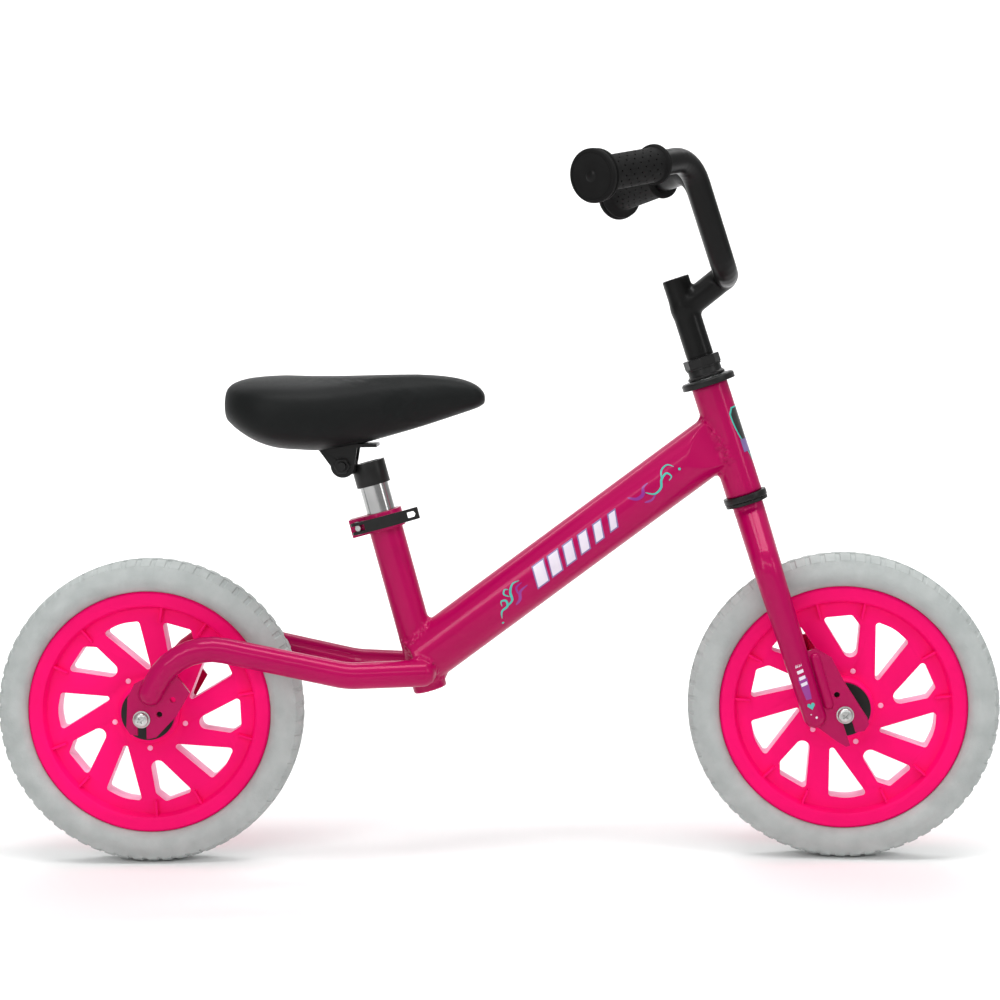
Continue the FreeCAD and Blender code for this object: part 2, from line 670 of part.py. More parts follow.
def make_grip(label, side):
    """A rubber grip with a flange at each end, closed over the end of the bar."""
    length = "Sizes.grip_length"
    flange = "Sizes.grip_flange_radius"
    body = turned(f"{label}_body", (
        (0, 0.2), (0, 9), (4, 10), (f"{flange} - 1", 10), (flange, 9), (flange, 6.2),
        (f"{flange} - 2", 5), (flange, 3.8), (flange, -1), (f"{flange} - 1.5", -2.5),
        ("Sizes.grip_radius", -4), ("Sizes.grip_radius", f"-{length} + 8"),
        (f"{flange} - 2", f"-{length} + 6"), (f"{flange} - 1.2", f"-{length} + 3"),
        (f"{flange} - 2", f"-{length}"), ("Sizes.bar_radius", f"-{length}"),
        ("Sizes.bar_radius", 0.2),
    ))
    ends = bar_points(side)
    run = (ends[-1] - ends[-2]).normalize()
    heading = FreeCAD.Rotation(Vector(0, 0, 1), run)
    axis = heading.Axis
    place = at("Sizes.bar_end_x", f"{side} * Sizes.bar_end_y", "Sizes.bar_end_z",
               f"{axis.x}; {axis.y}; {axis.z}", math.degrees(heading.Angle))
    piece(body, label, f"{STEER} * {place}")


# ---------------------------------------------------------------- wheels

WINDOW_TIPS = 5


def rounded(corners):
    """Edges of a closed outline with each corner rounded: (point, radius) pairs in order."""
    count = len(corners)
    starts = []
    for number, (corner, radius) in enumerate(corners):
        before = corners[number - 1][0]
        after = corners[(number + 1) % count][0]
        arriving = (corner - before).normalize()
        leaving = (after - corner).normalize()
        half_turn = arriving.getAngle(leaving) / 2
        reach = radius * math.tan(half_turn)
        inward = (leaving - arriving).normalize()
        middle = corner + inward * (radius / math.cos(half_turn) - radius)
        starts.append((corner - arriving * reach, middle, corner + leaving * reach))
    edges = []
    for number, (first, middle, last) in enumerate(starts):
        edges.append(Part.Arc(first, middle, last))
        edges.append(Part.LineSegment(last, starts[(number + 1) % count][0]))
    return edges


def polar(radius, angle):
    return Vector(radius * math.cos(math.radians(angle)), radius * math.sin(math.radians(angle)), 0)


def wheel_windows():
    """The two kinds of window between the slanting spokes: a triangle and a blunt one."""
    outside = size("window_radius")
    triangle = ((polar(36, 35), 2.5), (polar(outside - 1, 45.5), 3), (polar(outside + 0.6, 57.5), 40),
                (polar(outside - 1, 69.5), 3))
    blunt = ((polar(34.9, 70.6), 6.6), (polar(outside - 8.5, 78.5), 4), (polar(outside, 84.5), 3),
             (polar(outside - 1, 102.8), 3))
    return triangle, blunt


def make_wheel(label, frame):
    """One moulding: hub, ten slanting spokes, a stepped rim and a channel for the tyre."""
    body = new_body(f"{label}_body")
    section = new_sketch(body, f"{label}_section", "XZ_Plane")
    rim = "Sizes.rim_radius"
    half = []
    half.append(("Sizes.bearing_radius", "Sizes.hub_half_width - 1"))
    half.append(("Sizes.hub_outer_radius - 3", "Sizes.hub_half_width"))
    half.append(("Sizes.hub_outer_radius", "Sizes.hub_half_width - 3"))
    half.append(("Sizes.hub_outer_radius", "Sizes.web_half_width"))
    half.append(("Sizes.window_radius + 1", "Sizes.web_half_width"))
    half.append(("Sizes.window_radius + 11", "Sizes.web_half_width - 1.5"))
    half.append(("Sizes.window_radius + 13.5", "Sizes.rim_half_width - 1"))
    half.append(("Sizes.window_radius + 16", "Sizes.rim_half_width"))
    half.append((f"{rim} - 2", "Sizes.rim_half_width"))
    half.append((rim, "Sizes.rim_half_width - 1.5"))
    half.append((rim, "Sizes.channel_half_width"))
    half.append(("Sizes.channel_radius", "Sizes.channel_half_width"))
    mirrored = [(x, f"-({z})") for x, z in reversed(half)]
    inner = [("Sizes.bearing_radius - 3", "-Sizes.hub_half_width + 1 + Sizes.bearing_width"),
             ("Sizes.bearing_radius - 3", "Sizes.hub_half_width - 1 - Sizes.bearing_width"),
             ("Sizes.bearing_radius", "Sizes.hub_half_width - 1 - Sizes.bearing_width")]
    first = ("Sizes.bearing_radius", "-Sizes.hub_half_width + 1 + Sizes.bearing_width")
    outline(section, half + mirrored + [first] + inner)
    revolve(body, section, f"{label}_turn")
    doc.recompute()
    patterns = []
    for kind, corners in zip(("triangle", "blunt"), wheel_windows()):
        window = new_sketch(body, f"{label}_{kind}", "XY_Plane")
        for edge in rounded(corners):
            window.addGeometry(edge, False)
        count = window.GeometryCount
        for number in range(count):
            window.addConstraint(
                Sketcher.Constraint("Coincident", number, 2, (number + 1) % count, 1))
        patterns.append(pocket_through(body, window, f"{label}_{kind}_window"))
    hole = new_sketch(body, f"{label}_hole", "XY_Plane")
    circle(hole, "Sizes.boss_circle * cos(74.5)", "Sizes.boss_circle * sin(74.5)",
           "Sizes.boss_hole_radius")
    patterns.append(pocket_through(body, hole, f"{label}_boss_hole"))
    doc.recompute()
    spokes = body.newObject("PartDesign::PolarPattern", f"{label}_repeat")
    spokes.Originals = patterns
    axis = [item for item in body.Origin.OriginFeatures if item.Role == "Z_Axis"][0]
    spokes.Axis = (axis, [""])
    spokes.Angle = 360
    spokes.Occurrences = WINDOW_TIPS
    body.Tip = spokes
    piece(body, label, frame)


def make_tyre(label, frame):
    """A foam tyre with a foot that fills the rim's channel."""
    body = new_body(f"{label}_body")
    section = new_sketch(body, f"{label}_section", "XZ_Plane")
    outside = "Sizes.wheel_radius"
    rim = "Sizes.rim_radius"
    wide = "Sizes.tyre_half_width"
    half = [("Sizes.channel_radius", "Sizes.channel_half_width"),
            (rim, "Sizes.channel_half_width"), (rim, "Sizes.rim_half_width + 1"),
            (f"{rim} + 3", f"{wide} - 3.5"), (f"{rim} + 8", f"{wide} - 0.8"),
            (f"{rim} + 13", wide), (f"{outside} - 11", f"{wide} - 1.2"),
            (f"{outside} - 5.5", f"{wide} - 5"), (f"{outside} - 2", f"{wide} - 10.5"),
            (outside, f"{wide} - 17")]
    mirrored = [(x, f"-({z})") for x, z in reversed(half)]
    outline(section, half + mirrored)
    revolve(body, section, f"{label}_turn")
    piece(body, label, frame)


def make_hub_parts(prefix, frame, plate_face):
    """Bearings, covers, axle, spacers, washers and bolts of one wheel, along the axle's Z."""
    bore = "Sizes.axle_radius + 0.05"
    bearings = []
    covers = []
    spacers = []
    washers = []
    bolts = []
    hub = "Sizes.hub_half_width - 1"
    face = f"{plate_face} - 0"
    for side, turn in (("right", 0), ("left", 180)):
        flip = at(0, 0, 0, "1; 0; 0", turn)
        bearings.append(tube(f"{prefix}_{side}_bearing", "Sizes.bearing_radius", bore,
                             "Sizes.bearing_width",
                             f"{flip} * {at(0, 0, f'{hub} - Sizes.bearing_width')}"))
        covers.append(tube(f"{prefix}_{side}_cover", "Sizes.cover_radius", "8.6",
                           "Sizes.cover_thickness", f"{flip} * {at(0, 0, 'Sizes.hub_half_width')}"))
        spacers.append(tube(f"{prefix}_{side}_spacer", "7.5", "Sizes.axle_radius",
                            f"{face} - Sizes.hub_half_width - 0.4",
                            f"{flip} * {at(0, 0, 'Sizes.hub_half_width + 0.4')}"))
        outer = f"{face} + Sizes.dropout_thickness"
        washers.append(tube(f"{prefix}_{side}_washer", "8", "Sizes.axle_radius", "1.5",
                            f"{flip} * {at(0, 0, outer)}"))
        head = cone(f"{prefix}_{side}_bolt_head", "6.8", "5.6", "4.6",
                    f"{flip} * {at(0, 0, f'{outer} + 1.5')}")
        socket = doc.addObject("Part::Prism", f"{prefix}_{side}_bolt_socket")
        socket.Polygon = 6
        socket.Circumradius = 2.9
        socket.Height = 4
        socket.setExpression("Placement", f"{flip} * {at(0, 0, f'{outer} + 3.6')}")
        bolts.append(cut(f"{prefix}_{side}_bolt", head, socket))
    length = f"2 * ({face} + Sizes.dropout_thickness + 1.5)"
    axle = cylinder(f"{prefix}_axle_rod", "Sizes.axle_radius", length, at(0, 0, f"-({length}) / 2"))
    piece(pair(f"{prefix}_bearing", *bearings), f"{prefix}_hub_bearings", frame)
    piece(pair(f"{prefix}_cover", *covers), f"{prefix}_hub_covers", frame)
    piece(pair(f"{prefix}_spacer", *spacers), f"{prefix}_spacers", frame)
    piece(pair(f"{prefix}_washer", *washers), f"{prefix}_washers", frame)
    piece(pair(f"{prefix}_bolt", *bolts), f"{prefix}_axle_bolts", frame)
    piece(axle, f"{prefix}_axle", f"{frame} * {at(0, 0, f'-({length}) / 2')}")


# ---------------------------------------------------------------- seat post and clamp

def make_seat_post():
    height = "Sizes.post_top + Sizes.post_depth"
    body = tube("post", "Sizes.post_radius", "Sizes.post_radius - Sizes.post_wall", height,
                at(0, 0, "-Sizes.post_depth"))
    piece(body, "seat_post", SEAT)


def make_collar():
    """A split collar with two ears behind the seat tube for the skewer."""
    height = "Sizes.collar_height"
    low = f"-{height}"
    band = cylinder("collar_band", "Sizes.collar_radius", height, at(0, 0, low))
    ears = block("collar_ears", "Sizes.collar_ear_reach - 12", "2 * Sizes.collar_ear_y", height,
                 at("-Sizes.collar_ear_reach", 0, low))
    bore = cylinder("collar_bore", "Sizes.seat_tube_radius", f"{height} + 2",
                    at(0, 0, f"{low} - 1"))
    gap = block("collar_gap", "Sizes.collar_ear_reach", "4", f"{height} + 2",
                at("-Sizes.collar_ear_reach", 0, f"{low} - 1"))
    hole = cylinder("collar_hole", "Sizes.skewer_radius + 0.1", "40",
                    at("-Sizes.skewer_back", 20, "-Sizes.skewer_down", "1; 0; 0", 90))
    body = cut("collar", fuse("collar", band, ears), bore, gap, hole)
    piece(body, "seat_collar", SEAT)


def make_release_lever():
    """A forked cam on a pin, and a curved strip that lies along the collar."""
    strip = new_body("release_lever_body")
    plan = new_sketch(strip, "lever_plan", "XY_Plane")
    outline(plan, (
        (-4.6, 4.4), (-6.4, 0), (-5, -4), (-1, -6.4), (10, -8.6), (23, -10.8), (33, -11),
        (45, -9.4), (58, -6.4), (58.6, -3.4), (45, -6.4), (33, -8), (24, -7.8), (12, -5.4),
        (6.4, -2.6), (4.6, 4.4),
    ))
    pad(strip, plan, "11", "lever_pad", True)
    doc.recompute()
    eye = new_sketch(strip, "lever_eye", "XZ_Plane")
    outline(eye, ((48, -2.6), (54, -2.6), (55.5, 0), (54, 2.6), (48, 2.6)))
    pocket_through(strip, eye, "lever_eye_hole")
    fork = new_sketch(strip, "lever_fork", "XZ_Plane")
    outline(fork, ((-12, -2.8), (6.8, -2.8), (6.8, 2.8), (-12, 2.8)))
    pocket_through(strip, fork, "lever_fork_gap")
    pin = new_sketch(strip, "lever_pin_hole", "XY_Plane")
    circle(pin, 0, 0, "Sizes.lever_pin_radius + 0.05")
    pocket_through(strip, pin, "lever_pin_bore")
    piece(strip, "release_lever",
          f"{SEAT} * {at('-Sizes.skewer_back', '-Sizes.lever_pin_y', '-Sizes.skewer_down')}")


def make_skewer():
    """A rod through the collar's ears: a nut on the left, the lever's pin at the right end."""
    length = "Sizes.lever_pin_y + 4 + Sizes.collar_ear_y + 6"
    rod = cylinder("skewer_rod", "Sizes.skewer_radius", length)
    hole = cylinder("skewer_pin_hole", "Sizes.lever_pin_radius", "12",
                    at(0, -6, f"{length} - 4", "1; 0; 0", -90))
    left = at("-Sizes.skewer_back", "Sizes.collar_ear_y + 6", "-Sizes.skewer_down", "1; 0; 0", 90)
    piece(cut("skewer", rod, hole), "clamp_skewer", f"{SEAT} * {left}")
    nut = cylinder("skewer_nut", "5", "4.5")
    thread = cylinder("skewer_thread", "Sizes.skewer_radius", "8", at(0, 0, -1))
    outer = at("-Sizes.skewer_back", "Sizes.collar_ear_y + 4.5", "-Sizes.skewer_down", "1; 0; 0",
               90)
    piece(cut("clamp_nut", nut, thread), "clamp_nut", f"{SEAT} * {outer}")
    pin = cylinder("lever_pin_rod", "Sizes.lever_pin_radius", "12")
    piece(pin, "lever_pin",
          f"{SEAT} * {at('-Sizes.skewer_back', '-Sizes.lever_pin_y', '-Sizes.skewer_down - 6')}")


# ---------------------------------------------------------------- saddle

def make_saddle_clamp():
    """A clip round the top of the post, with ears back to the tilt bolt."""
    low = "Sizes.post_top - 22"
    bolt = at("-Sizes.tilt_back", 30, "Sizes.tilt_up", "1; 0; 0", 90)
    band = cylinder("clamp_band", "Sizes.post_radius + 2.4", "22", at(0, 0, low))
    ears = block("clamp_ears", "12", "18", "16", at("-Sizes.tilt_back", 0, "Sizes.tilt_up - 10"))
    boss = cylinder("clamp_boss", "10", "18",
                    at("-Sizes.tilt_back", 9, "Sizes.tilt_up", "1; 0; 0", 90))
    post = cylinder("clamp_post", "Sizes.post_radius", "60", at(0, 0, f"{low} - 4"))
    hole = cylinder("clamp_bolt_hole", "Sizes.tilt_bolt_radius", "60", bolt)
    gap = block("clamp_gap", "36", "5", "60", at(-46, 0, f"{low} - 2"))
    room = []
    for side, start in (("right", -9), ("left", 39)):
        room.append(cylinder(f"clamp_{side}_room", "12.2", "30",
                             at("-Sizes.tilt_back", start, "Sizes.tilt_up", "1; 0; 0", 90)))
    body = cut("clamp", fuse("clamp", band, ears, boss), post, gap, hole, *room)
    piece(body, "saddle_clamp", SEAT)


def make_tilt_hardware():
    """The tilt bolt with its nuts and the toothed washers that hold the saddle's angle."""
    bolt = cylinder("tilt_rod", "Sizes.tilt_bolt_radius", "58", at(0, 29, 0, "1; 0; 0", 90))
    piece(bolt, "saddle_clamp_bolt", f"{TILT} * {at(0, 29, 0, '1; 0; 0', 90)}")
    washers = []
    nuts = []
    for side, turn in (("right", 90), ("left", -90)):
        flip = at(0, 0, 0, "1; 0; 0", turn)
        washers.append(tube(f"tilt_{side}_washer", "11.2", "Sizes.tilt_bolt_radius", "6",
                            f"{flip} * {at(0, 0, 9)}"))
        nut = doc.addObject("Part::Prism", f"tilt_{side}_nut")
        nut.Polygon = 6
        nut.Circumradius = 7.5
        nut.Height = 6.5
        nut.setExpression("Placement", f"{flip} * {at(0, 0, 18)}")
        thread = cylinder(f"tilt_{side}_thread", "Sizes.tilt_bolt_radius", "12",
                          f"{flip} * {at(0, 0, 17)}")
        nuts.append(cut(f"tilt_{side}_nut", nut, thread))
    piece(pair("tilt_washers", *washers), "clamp_washers", TILT)
    piece(pair("tilt_nuts", *nuts), "saddle_clamp_nuts", TILT)


def saddle_section(x, half_width, low, high):
    """A rounded cross-section of the saddle at one place along it."""
    middle = (low + high) / 2
    height = (high - low) / 2
    turns = 16
    points = []
    for number in range(turns):
        angle = 2 * math.pi * number / turns
        across = math.copysign(abs(math.cos(angle)) ** 0.75, math.cos(angle))
        up = math.copysign(abs(math.sin(angle)) ** 0.75, math.sin(angle))
        points.append(Vector(x, half_width * across, middle + height * up))
    curve = Part.BSplineCurve()
    curve.interpolate(points, PeriodicFlag=True)
    return Part.Wire(curve.toShape())


def make_saddle():
    """The padded cover, and the stiff shell let into its underside."""
    rear = size("saddle_rear_x")
    length = size("saddle_nose_x") - rear
    top = size("saddle_top_z")
    wide = size("saddle_half_width")
    stations = ((0.01, 0.30, -44, -12), (0.06, 0.72, -56, -3), (0.16, 0.95, -64, 0),
                (0.30, 0.99, -68, -1), (0.45, 0.82, -66, -1.5), (0.60, 0.53, -57, -1),
                (0.76, 0.36, -46, -1), (0.90, 0.29, -36, -4), (0.97, 0.22, -31, -11),
                (0.998, 0.10, -27, -20))
    sections = [saddle_section(rear + length * along, wide * across, top + low, top + high)
                for along, across, low, high in stations]
    cushion = Part.makeLoft(sections, True, False)
    lean = math.radians(90 - size("seat_angle"))
    bolt_z = (size("seat_top_z") + size("tilt_up") * math.cos(lean)
              - size("tilt_back") * math.sin(lean))
    room = Part.makeBox(84, 46, 60, Vector(-180, -23, bolt_z + size("bracket_rise") - 57))
    cushion = cushion.cut(room)
    floor = Part.Face(Part.Wire([Part.LineSegment(a, b).toShape() for a, b in zip(
        saddle_floor(), saddle_floor()[1:] + saddle_floor()[:1])]))
    below = floor.extrude(Vector(0, 200, 0))
    below.translate(Vector(0, -100, 0))
    shell = cushion.common(below)
    shape_piece("saddle_cover", cushion.cut(below), WORLD)
    shape_piece("saddle_shell", max(shell.Solids, key=lambda solid: solid.Volume), WORLD)


def saddle_floor():
    """Side view of the space under the padding, where the shell is."""
    return [Vector(-260, 0, 300), Vector(-260, 0, 410), Vector(-225, 0, 407),
            Vector(-150, 0, 401), Vector(-104, 0, 407), Vector(10, 0, 440), Vector(10, 0, 300)]


def make_bracket():
    """A steel channel in the shell's underside, whose cheeks hang on the tilt bolt."""
    rise = size("bracket_rise")
    bridge = Part.makeBox(70, 35.6, 3, Vector(-38, -17.8, rise))
    corners = [(-24, rise + 1), (14, rise + 1), (11, 0), (-11, 0), (-24, rise + 1)]
    cheeks = []
    for y in (15.3, -17.8):
        wedge = Part.Face(Part.makePolygon([Vector(x, y, z) for x, z in corners]))
        cheeks.append(wedge.extrude(Vector(0, 2.5, 0)))
        cheeks.append(Part.makeCylinder(11, 2.5, Vector(0, y, 0), Vector(0, 1, 0)))
    shape = bridge.fuse(cheeks).removeSplitter()
    hole = Part.makeCylinder(size("tilt_bolt_radius") + 0.05, 60, Vector(0, -30, 0),
                             Vector(0, 1, 0))
    shape_piece("saddle_bracket", shape.cut(hole), TILT)


# ---------------------------------------------------------------- build

make_head_tube()
make_seat_tube()
make_down_tube()
make_stays()
make_headset()
make_steerer()
make_crown()
for side, name in ((-1, "right"), (1, "left")):
    make_rear_dropout(f"{name}_rear_dropout", side)
    make_fork_dropout(f"{name}_fork_dropout", side)
    make_fork_leg(f"{name}_fork_leg", side)
    make_grip(f"{name}_grip", side)
make_stem()
make_handlebar()
for name, wheel_frame, axle_frame, plate in (
        ("front", FRONT_WHEEL, FRONT_AXLE, "Sizes.front_dropout_y"),
        ("rear", REAR_WHEEL, REAR_AXLE, "Sizes.rear_dropout_y")):
    make_wheel(f"{name}_wheel", wheel_frame)
    make_tyre(f"{name}_tyre", wheel_frame)
    make_hub_parts(name, axle_frame, plate)
make_seat_post()
make_collar()
make_release_lever()
make_skewer()
make_saddle_clamp()
make_tilt_hardware()
make_saddle()
make_bracket()

doc.recompute()
faults = [item.Name for item in doc.Objects if {"Invalid", "Error"} & set(item.State)]
for item in pieces:
    shape = item.Shape
    if shape.isNull() or not shape.isValid():
        faults.append(item.Label)
if faults:
    raise RuntimeError("could not be built: " + ", ".join(faults))

os.makedirs("parts", exist_ok=True)
for item in pieces:
    item.Shape.exportStep(f"parts/{item.Label}.step")
    box = item.Shape.BoundBox
    print(f"{item.Label:22s} {len(item.Shape.Solids)} solid(s) {item.Shape.Volume / 1000:9.2f} cm3 "
          f"x {box.XMin:.1f}..{box.XMax:.1f} y {box.YMin:.1f}..{box.YMax:.1f} "
          f"z {box.ZMin:.1f}..{box.ZMax:.1f}")
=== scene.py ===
# %% [markdown]
# # A child's balance bike
# A small bike with no pedals: the rider pushes along with both feet. The measured, moving model
# is ready, and this lesson gives it its looks: welded and painted tubes, moulded wheels, foam
# tyres, soft grips and a padded saddle.
#
# The first step loads that model. Everything after it is placed to its sizes.

# %% Load the frame
import json
import math

import bpy
import numpy as np
from mathutils import Matrix, Vector, noise

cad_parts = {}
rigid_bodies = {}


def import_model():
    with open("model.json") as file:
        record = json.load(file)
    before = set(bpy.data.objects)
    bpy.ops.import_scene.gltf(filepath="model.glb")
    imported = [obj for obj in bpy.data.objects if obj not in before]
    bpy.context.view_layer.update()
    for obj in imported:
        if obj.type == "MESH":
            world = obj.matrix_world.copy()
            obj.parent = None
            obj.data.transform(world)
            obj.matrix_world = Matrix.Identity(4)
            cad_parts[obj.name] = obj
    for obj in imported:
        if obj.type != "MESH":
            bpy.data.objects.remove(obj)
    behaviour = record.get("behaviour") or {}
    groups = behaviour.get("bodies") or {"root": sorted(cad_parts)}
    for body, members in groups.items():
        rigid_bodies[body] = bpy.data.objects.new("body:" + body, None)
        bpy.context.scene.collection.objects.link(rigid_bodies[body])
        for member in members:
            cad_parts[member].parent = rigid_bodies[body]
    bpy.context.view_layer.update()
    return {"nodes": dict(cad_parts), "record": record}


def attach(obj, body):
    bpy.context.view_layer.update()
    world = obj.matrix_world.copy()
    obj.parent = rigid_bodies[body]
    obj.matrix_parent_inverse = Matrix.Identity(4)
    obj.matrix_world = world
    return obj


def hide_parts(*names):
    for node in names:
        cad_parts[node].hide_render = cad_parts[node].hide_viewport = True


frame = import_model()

nodes = frame["nodes"]
MM = 0.001

# %% [markdown]
# ## Places on the bike
# The fork and bar turn about a leaning axis, the saddle slides along another, and each wheel
# spins on its axle. A matrix for each lets a piece be shaped upright at the origin, which is
# easy, and then be carried to its place with its size kept.

# %% Frames of the steering, the seat and the wheels
def turn(degrees, axis):
    return Matrix.Rotation(math.radians(degrees), 4, axis)


def move(x=0.0, y=0.0, z=0.0):
    """A step given in millimetres."""
    return Matrix.Translation(Vector((x, y, z)) * MM)


HEAD = move(234.3, 0, 343) @ turn(-17.5, "Y")
STEER = HEAD @ turn(-5, "Z")
SEAT = move(-104.6, 0, 330) @ turn(-14.5, "Y")
FRONT_AXLE = STEER @ move(26.7, 0, -217.1) @ turn(90, "X")
REAR_AXLE = move(-325, 0, 144) @ turn(90, "X")
FRONT_WHEEL = FRONT_AXLE @ turn(-17.5, "Z")
REAR_WHEEL = REAR_AXLE @ turn(-22, "Z")
print("front axle at", [round(v, 4) for v in FRONT_AXLE.translation])

# %% [markdown]
# ## Camera, light and floor
# The bike is seen from its right side by a long lens a little above saddle height. Soft lamps
# overhead and in front draw long pale lines down the glossy tubes, and a sweep of pale floor
# that curves up behind keeps the background clean.

# %% Camera
bpy.context.scene.view_settings.view_transform = "Standard"

CAMERA_PLACE = Vector((0.0518, -1.8176, 0.4914))
LOOK = Vector((-0.0247, 0.9962, -0.0833))
ROLL_DEGREES = -0.72
LENS_MM = 70.3
SENSOR_MM = 36

bpy.ops.object.camera_add(location=CAMERA_PLACE)
camera = bpy.context.object
camera.name = "camera"
camera.data.lens = LENS_MM
camera.data.sensor_width = SENSOR_MM
camera.rotation_mode = "QUATERNION"
camera.rotation_quaternion = LOOK.to_track_quat("-Z", "Y") @ turn(ROLL_DEGREES, "Z").to_quaternion()
bpy.context.scene.camera = camera
print("camera lens", camera.data.lens, "mm")


# %% Lamps, sweep and world
def lamp(name, place, target, size, power):
    """A rectangular soft lamp, in metres and watts, turned towards its target."""
    bpy.ops.object.light_add(type="AREA", location=place)
    light = bpy.context.object
    light.name = name
    light.data.shape = "RECTANGLE"
    light.data.size, light.data.size_y = size
    light.data.energy = power
    light.rotation_euler = (Vector(target) - Vector(place)).to_track_quat("-Z", "Y").to_euler()


lamp("overhead_softbox", (0.1, -0.5, 2.3), (0, 0, 0.3), (2.2, 0.7), 34)
lamp("front_softbox", (-1.5, -2.2, 1.3), (0, 0, 0.35), (0.5, 1.5), 12)
lamp("side_softbox", (2.2, -1.4, 1.5), (0.1, 0, 0.35), (0.5, 1.6), 10)
lamp("near_floor_lamp", (0, -4.5, 2.6), (0, -5.0, 0), (5.0, 2.5), 130)
lamp("sweep_lamp", (0, 1.6, 2.4), (0, 3.0, 0.6), (4.0, 1.0), 110)

WORLD_STRENGTH = 0.42
world = bpy.data.worlds.new("studio")
bpy.context.scene.world = world
world.use_nodes = True
surround = world.node_tree.nodes["Background"]
surround.inputs["Color"].default_value = (1, 1, 1, 1)
surround.inputs["Strength"].default_value = WORLD_STRENGTH


def deselect():
    """Leaves edit mode and empties the selection, so an operator acts on one piece only."""
    if bpy.context.object and bpy.context.object.mode != "OBJECT":
        bpy.ops.object.mode_set(mode="OBJECT")
    bpy.ops.object.select_all(action="DESELECT")


def choose(obj):
    """Makes one piece the only selected and active one."""
    deselect()
    obj.select_set(True)
    bpy.context.view_layer.objects.active = obj
    return obj


def joined(pieces, name):
    """Joins several pieces into one with this name."""
    deselect()
    for piece in pieces:
        piece.select_set(True)
    bpy.context.view_layer.objects.active = pieces[0]
    if len(pieces) > 1:
        bpy.ops.object.join()
    obj = bpy.context.object
    obj.name = obj.data.name = name
    return obj


FLOOR_SIZE = 14
WALL_HEIGHT = 8
FAR_EDGE = FLOOR_SIZE / 2 - 0.1

deselect()
bpy.ops.mesh.primitive_plane_add(size=FLOOR_SIZE, location=(0, 0, 0))
sweep = bpy.context.object
sweep.name = "floor_sweep"
bpy.ops.object.mode_set(mode="EDIT")
bpy.ops.mesh.select_mode(type="EDGE")
bpy.ops.object.mode_set(mode="OBJECT")
for edge in sweep.data.edges:
    ends = [sweep.data.vertices[v].co.y for v in edge.vertices]
    edge.select = min(ends) > FAR_EDGE
for vertex in sweep.data.vertices:
    vertex.select = vertex.co.y > FAR_EDGE
for face in sweep.data.polygons:
    face.select = False
bpy.ops.object.mode_set(mode="EDIT")
bpy.ops.mesh.extrude_region_move(TRANSFORM_OT_translate={"value": (0, 0, WALL_HEIGHT)})
bpy.ops.mesh.select_all(action="SELECT")
bpy.ops.mesh.normals_make_consistent(inside=False)
bpy.ops.object.mode_set(mode="OBJECT")
bend = sweep.modifiers.new("curve_of_the_sweep", "BEVEL")
bend.width = 2.5
bend.segments = 16
bpy.ops.object.modifier_apply(modifier=bend.name)
bpy.ops.object.shade_smooth()
sweep.location.y = -2.5
print("floor and lamps set")

# %% [markdown]
# ## Shared effects
# Three effects turn up in most finishes, so each is built once as a node group with its own
# inputs: cloudy colour (a tone that drifts over the surface), fine relief (the tiny unevenness
# that breaks up a reflection) and grain (the pebbled skin of a moulded or leathery piece).


# %% Node groups
def new_group(name, inputs, outputs):
    """A shader group with sockets (name, kind, value) going in and (name, kind) out.

    Gives the tree, its two ends, a coordinate node and the function that links sockets.
    """
    tree = bpy.data.node_groups.new(name, "ShaderNodeTree")
    for label, kind, value in inputs:
        socket = tree.interface.new_socket(label, in_out="INPUT", socket_type=kind)
        socket.default_value = value
    for label, kind in outputs:
        tree.interface.new_socket(label, in_out="OUTPUT", socket_type=kind)
    given, result = tree.nodes.new("NodeGroupInput"), tree.nodes.new("NodeGroupOutput")
    return tree, given, result, tree.nodes.new("ShaderNodeTexCoord"), tree.links.new


FLOAT, COLOUR, VECTOR = "NodeSocketFloat", "NodeSocketColor", "NodeSocketVector"


def cloudy_group():
    tree, given, result, place, link = new_group(
        "cloudy_colour",
        [("Light", COLOUR, (0.8, 0.8, 0.8, 1)), ("Dark", COLOUR, (0.5, 0.5, 0.5, 1)),
         ("Scale", FLOAT, 20.0), ("Detail", FLOAT, 4.0)],
        [("Color", COLOUR), ("Mask", FLOAT)])
    cloud = tree.nodes.new("ShaderNodeTexNoise")
    ramp = tree.nodes.new("ShaderNodeValToRGB")
    mix = tree.nodes.new("ShaderNodeMix")
    mix.data_type = "RGBA"
    ramp.color_ramp.elements[0].position = 0.32
    ramp.color_ramp.elements[1].position = 0.68
    link(place.outputs["Object"], cloud.inputs["Vector"])
    link(given.outputs["Scale"], cloud.inputs["Scale"])
    link(given.outputs["Detail"], cloud.inputs["Detail"])
    link(cloud.outputs["Fac"], ramp.inputs["Fac"])
    link(ramp.outputs["Color"], mix.inputs["Factor"])
    link(given.outputs["Dark"], mix.inputs["A"])
    link(given.outputs["Light"], mix.inputs["B"])
    link(mix.outputs["Result"], result.inputs["Color"])
    link(ramp.outputs["Color"], result.inputs["Mask"])
    return tree


def relief_group():
    tree, given, result, place, link = new_group(
        "fine_relief",
        [("Scale", FLOAT, 200.0), ("Strength", FLOAT, 0.2), ("Height", FLOAT, 0.0002)],
        [("Normal", VECTOR), ("Value", FLOAT)])
    rough = tree.nodes.new("ShaderNodeTexNoise")
    rough.inputs["Detail"].default_value = 3
    bump = tree.nodes.new("ShaderNodeBump")
    link(place.outputs["Object"], rough.inputs["Vector"])
    link(given.outputs["Scale"], rough.inputs["Scale"])
    link(rough.outputs["Fac"], bump.inputs["Height"])
    link(given.outputs["Strength"], bump.inputs["Strength"])
    link(given.outputs["Height"], bump.inputs["Distance"])
    link(bump.outputs["Normal"], result.inputs["Normal"])
    link(rough.outputs["Fac"], result.inputs["Value"])
    return tree


